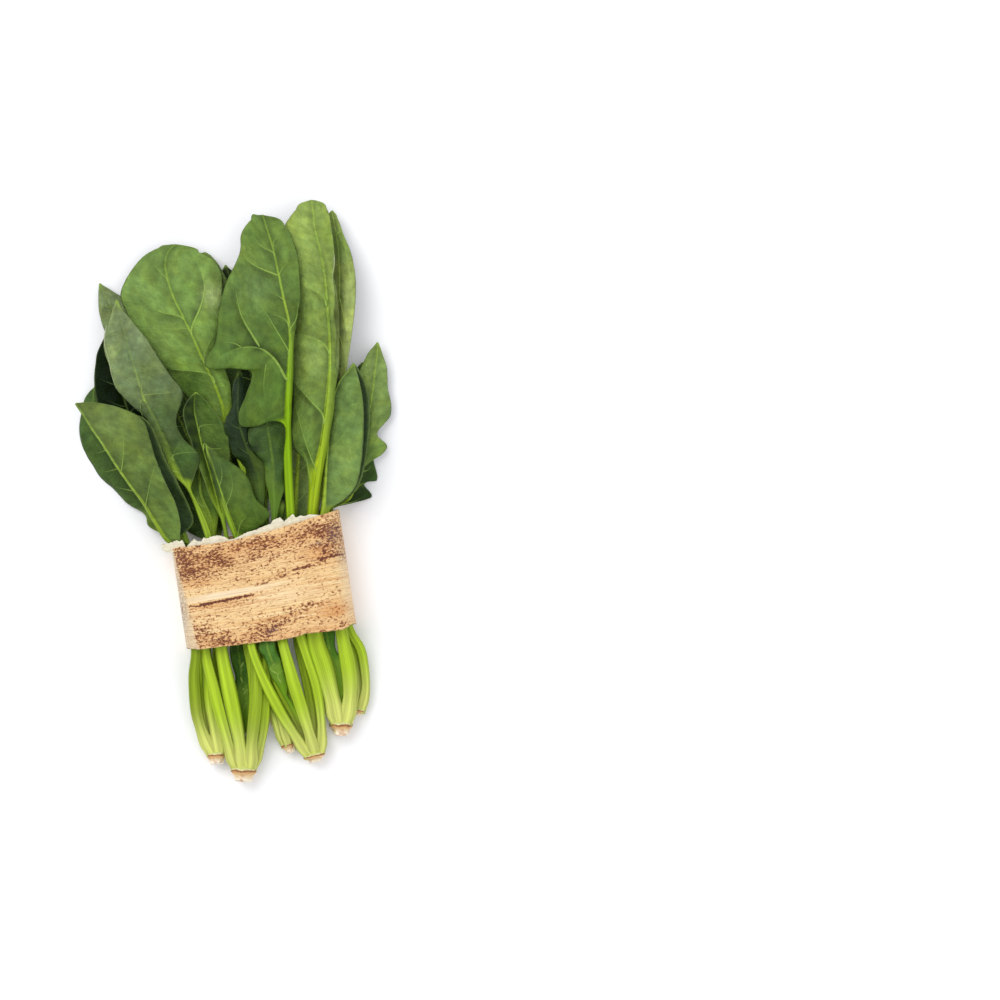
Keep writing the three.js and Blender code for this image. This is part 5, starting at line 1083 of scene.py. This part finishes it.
def capWrapEdges(bm):
    # Closes both long edges with faces between the outer and the inner skin.
    open_ = {e for e in bm.edges if e.is_boundary}
    while open_:
        edge = open_.pop()
        loop = [edge.verts[0], edge.verts[1]]
        while following := next((e for e in loop[-1].link_edges if e in open_), None):
            open_.discard(following)
            loop.append(following.other_vert(loop[-1]))
        loop.pop()
        n = len(loop)
        tight = min(range(n), key=lambda i: sum((loop[(i + k) % n].co - loop[(i + 1 - k) % n].co).length
                                                for k in range(1, 12)))
        for k in range(n // 2 - 1):
            ids = [(tight - k) % n, (tight + 1 + k) % n, (tight + 2 + k) % n, (tight - k - 1) % n]
            corners = list(dict.fromkeys(loop[i] for i in ids))
            if len(corners) > 2:
                bm.faces.new(corners)


buildWrap(barkMaterial())
print("wrap done")


# The inner ply: a torn pale layer of the bark that stands out of the wrap's upper edge.
# Its columns meet inside the wrap, and there some other depths, steps, rows and tooth values make
# the thickening throw out a long spike, so its bounds need a look after any change here.
plyShape = {
    "depth": 8.0,          # mm inside the wrap
    "thickness": 0.45,
    "step": 0.35,          # mm between columns
    "rows": 14,
    "ripple": 0.9,         # mm that what shows of it rises and falls
    "tooth": 0.35,         # mm, the roughness of the torn edge
    "below": 0.5,          # mm under the wrap's outer skin
    # the torn edge, in mm
    "tornEdge": ((-35.6, -26.4), (-31.6, -25.8), (-27.6, -24.3), (-26.6, -25.1), (-25.0, -24.3),
                 (-22.8, -28.2), (-21.9, -26.6), (-18.9, -23.6), (-17.6, -24.6), (-15.6, -25.2),
                 (-14.2, -22.9), (-12.9, -23.6), (-10.0, -22.4), (-6.9, -21.9), (-4.2, -22.4),
                 (-1.5, -24.0), (1.2, -23.5), (7.9, -20.2), (11.8, -19.2), (15.9, -17.3),
                 (19.2, -16.3), (20.6, -14.2), (23.9, -12.9), (25.9, -15.1), (28.2, -12.9),
                 (30.3, -11.3), (31.6, -13.1), (34.0, -12.0), (36.2, -12.4), (38.7, -11.4),
                 (43.4, -11.8)),
}


def plyMaterial():
    # The spongy inner layer: dull, off-white, with fine fibres along the strip.
    material, node = startMaterial("bark pith, torn and dull")
    place = node("Attribute", attribute_name="plyMap").outputs["Vector"]
    where = node("VectorMath", {0: place, 1: (0.25, 1.6, 0)}, operation="MULTIPLY")
    fibre = node("TexNoise", {"Vector": where, "Scale": 1.0, "Detail": 4.0})   # 0.6 mm fibres
    share = node("MapRange", {"Value": fibre, "From Min": 0.3, "From Max": 0.7})
    colour = node("Mix", {0: share, 6: linear("#cfc6a6"), 7: linear("#f4eeda")}, data_type="RGBA")
    bump = node("Bump", {"Height": fibre, "Distance": 0.4 * mm, "Strength": 0.8})
    shader = node("BsdfPrincipled", {"Base Color": colour, "Roughness": 0.78, "IOR": 1.4, "Normal": bump})
    node("OutputMaterial", {"Surface": shader})
    return material


def buildPly(material):
    shape = plyShape
    upper = np.array(wrapShape["upperEdge"])
    across = (upper[1] - upper[0]) / np.linalg.norm(upper[1] - upper[0])
    axis = np.array([-across[1], across[0]])
    torn = (np.array(shape["tornEdge"]) - upper[0]) @ np.stack([across, axis], axis=1)
    first, last = torn[0, 0], torn[-1, 0]
    columns = round((last - first) / shape["step"])
    top = wrapShape["height"] - wrapShape["thickness"] - shape["below"]
    radius = wrapShape["cornerRadius"]
    bm = startGrid(columns, shape["rows"])
    plyMap = bm.verts.layers.float_vector.new("plyMap")   # mm along the torn edge, mm out of the wrap
    for vertex in bm.verts:   # placed by the grid's own fractions, not by whole columns
        u = first + (vertex.co.x + 1) / 2 * (last - first)
        rough = noise.noise(Vector((u / 0.8, 3, 5))) * shape["tooth"]
        edge = float(np.interp(u, torn[:, 0], torn[:, 1])) + rough
        v = -shape["depth"] + (edge + shape["depth"]) * (vertex.co.y + 1) / 2
        # inside the wrap it follows the rounded side; outside, its left end lies flared
        inside = max(wrapShape["thickness"] + 0.4, u)
        flared = ease(v, -4, 0)
        u = inside * (1 - flared) + u * flared
        drop = radius - math.sqrt(max(0, radius ** 2 - max(0, radius - u) ** 2)) if u > 0 else 6
        wave = noise.noise(Vector((u / 2.2, v / 5, 1))) * flared
        z = top - min(drop, 5) * 0.8 + shape["ripple"] * wave - 0.1 * max(0, v)
        vertex.co = (*(upper[0] + across * u + axis * v) * mm, z * mm)
        vertex[plyMap] = (u, v, 0)
    bmesh.ops.recalc_face_normals(bm, faces=bm.faces)
    bmesh.ops.solidify(bm, geom=bm.faces[:], thickness=shape["thickness"] * mm)
    addPiece(bm, "fine_inner_ply", material, "wrap_inner_ply")


buildPly(plyMaterial())
print("inner ply done")


# The table, the light and the camera.
bench = {
    "floor": 3.0,          # metres from its middle to its edge
    "floorColour": "#fdfdfd",
    "floorGlow": 0.05,     # the table is lit a little from beneath
    "floorUnder": 0.2,     # mm under the bunch
    "sky": 0.67,
    "skyColour": "#f7f9ff",
    # each soft light: place, edge in metres, watts
    "lights": (((-0.7, 0.8, 1.5), 1.4, 19.0), ((1.0, -0.4, 1.4), 1.8, 6.5)),
    "cameraHeight": 3.0,
    "pictureWidth": 0.5,
    "pictureLevel": 0.015,   # the height at which the picture is that wide
    "pictureCentre": (0.1335, -0.0043),
}


def setBench():
    scene = bpy.context.scene
    bm = bmesh.new()
    bmesh.ops.create_grid(bm, x_segments=1, y_segments=1, size=bench["floor"])
    mesh = bpy.data.meshes.new("floor")
    bm.to_mesh(mesh)
    bm.free()
    material, node = startMaterial("matte white card")
    place = node("TexCoord").outputs["Object"]
    tooth = node("TexNoise", {"Vector": place, "Scale": 1200.0, "Detail": 2.0})
    bump = node("Bump", {"Height": tooth, "Distance": 0.05 * mm, "Strength": 0.2})
    shader = node("BsdfPrincipled", {
        "Base Color": linear(bench["floorColour"]), "Roughness": 0.9, "Normal": bump,
        "Emission Color": linear("#ffffff"), "Emission Strength": bench["floorGlow"]})
    node("OutputMaterial", {"Surface": shader})
    mesh.materials.append(material)
    floor = bpy.data.objects.new("floor", mesh)
    floor.location.z = -bench["floorUnder"] * mm
    scene.collection.objects.link(floor)

    world = bpy.data.worlds.new("studio")
    world.use_nodes = True
    background = world.node_tree.nodes["Background"].inputs
    background[0].default_value, background[1].default_value = linear(bench["skyColour"]), bench["sky"]
    scene.world = world
    for k, (place, size, power) in enumerate(bench["lights"]):
        light = bpy.data.lights.new(f"softbox{k}", "AREA")
        light.shape, light.size, light.energy = "SQUARE", size, power
        holder = bpy.data.objects.new(f"softbox{k}", light)
        holder.location = place
        holder.rotation_euler = (-Vector(place)).to_track_quat("-Z", "Y").to_euler()
        scene.collection.objects.link(holder)

    camera = bpy.data.cameras.new("camera")
    camera.sensor_width, camera.clip_end = 36, 10
    away = bench["cameraHeight"] - bench["pictureLevel"]
    camera.lens = camera.sensor_width * away / bench["pictureWidth"]
    holder = bpy.data.objects.new("camera", camera)
    holder.location = (*bench["pictureCentre"], bench["cameraHeight"])
    scene.collection.objects.link(holder)
    scene.camera = holder
    scene.view_settings.view_transform = "Standard"


setBench()
print("bench and camera done")
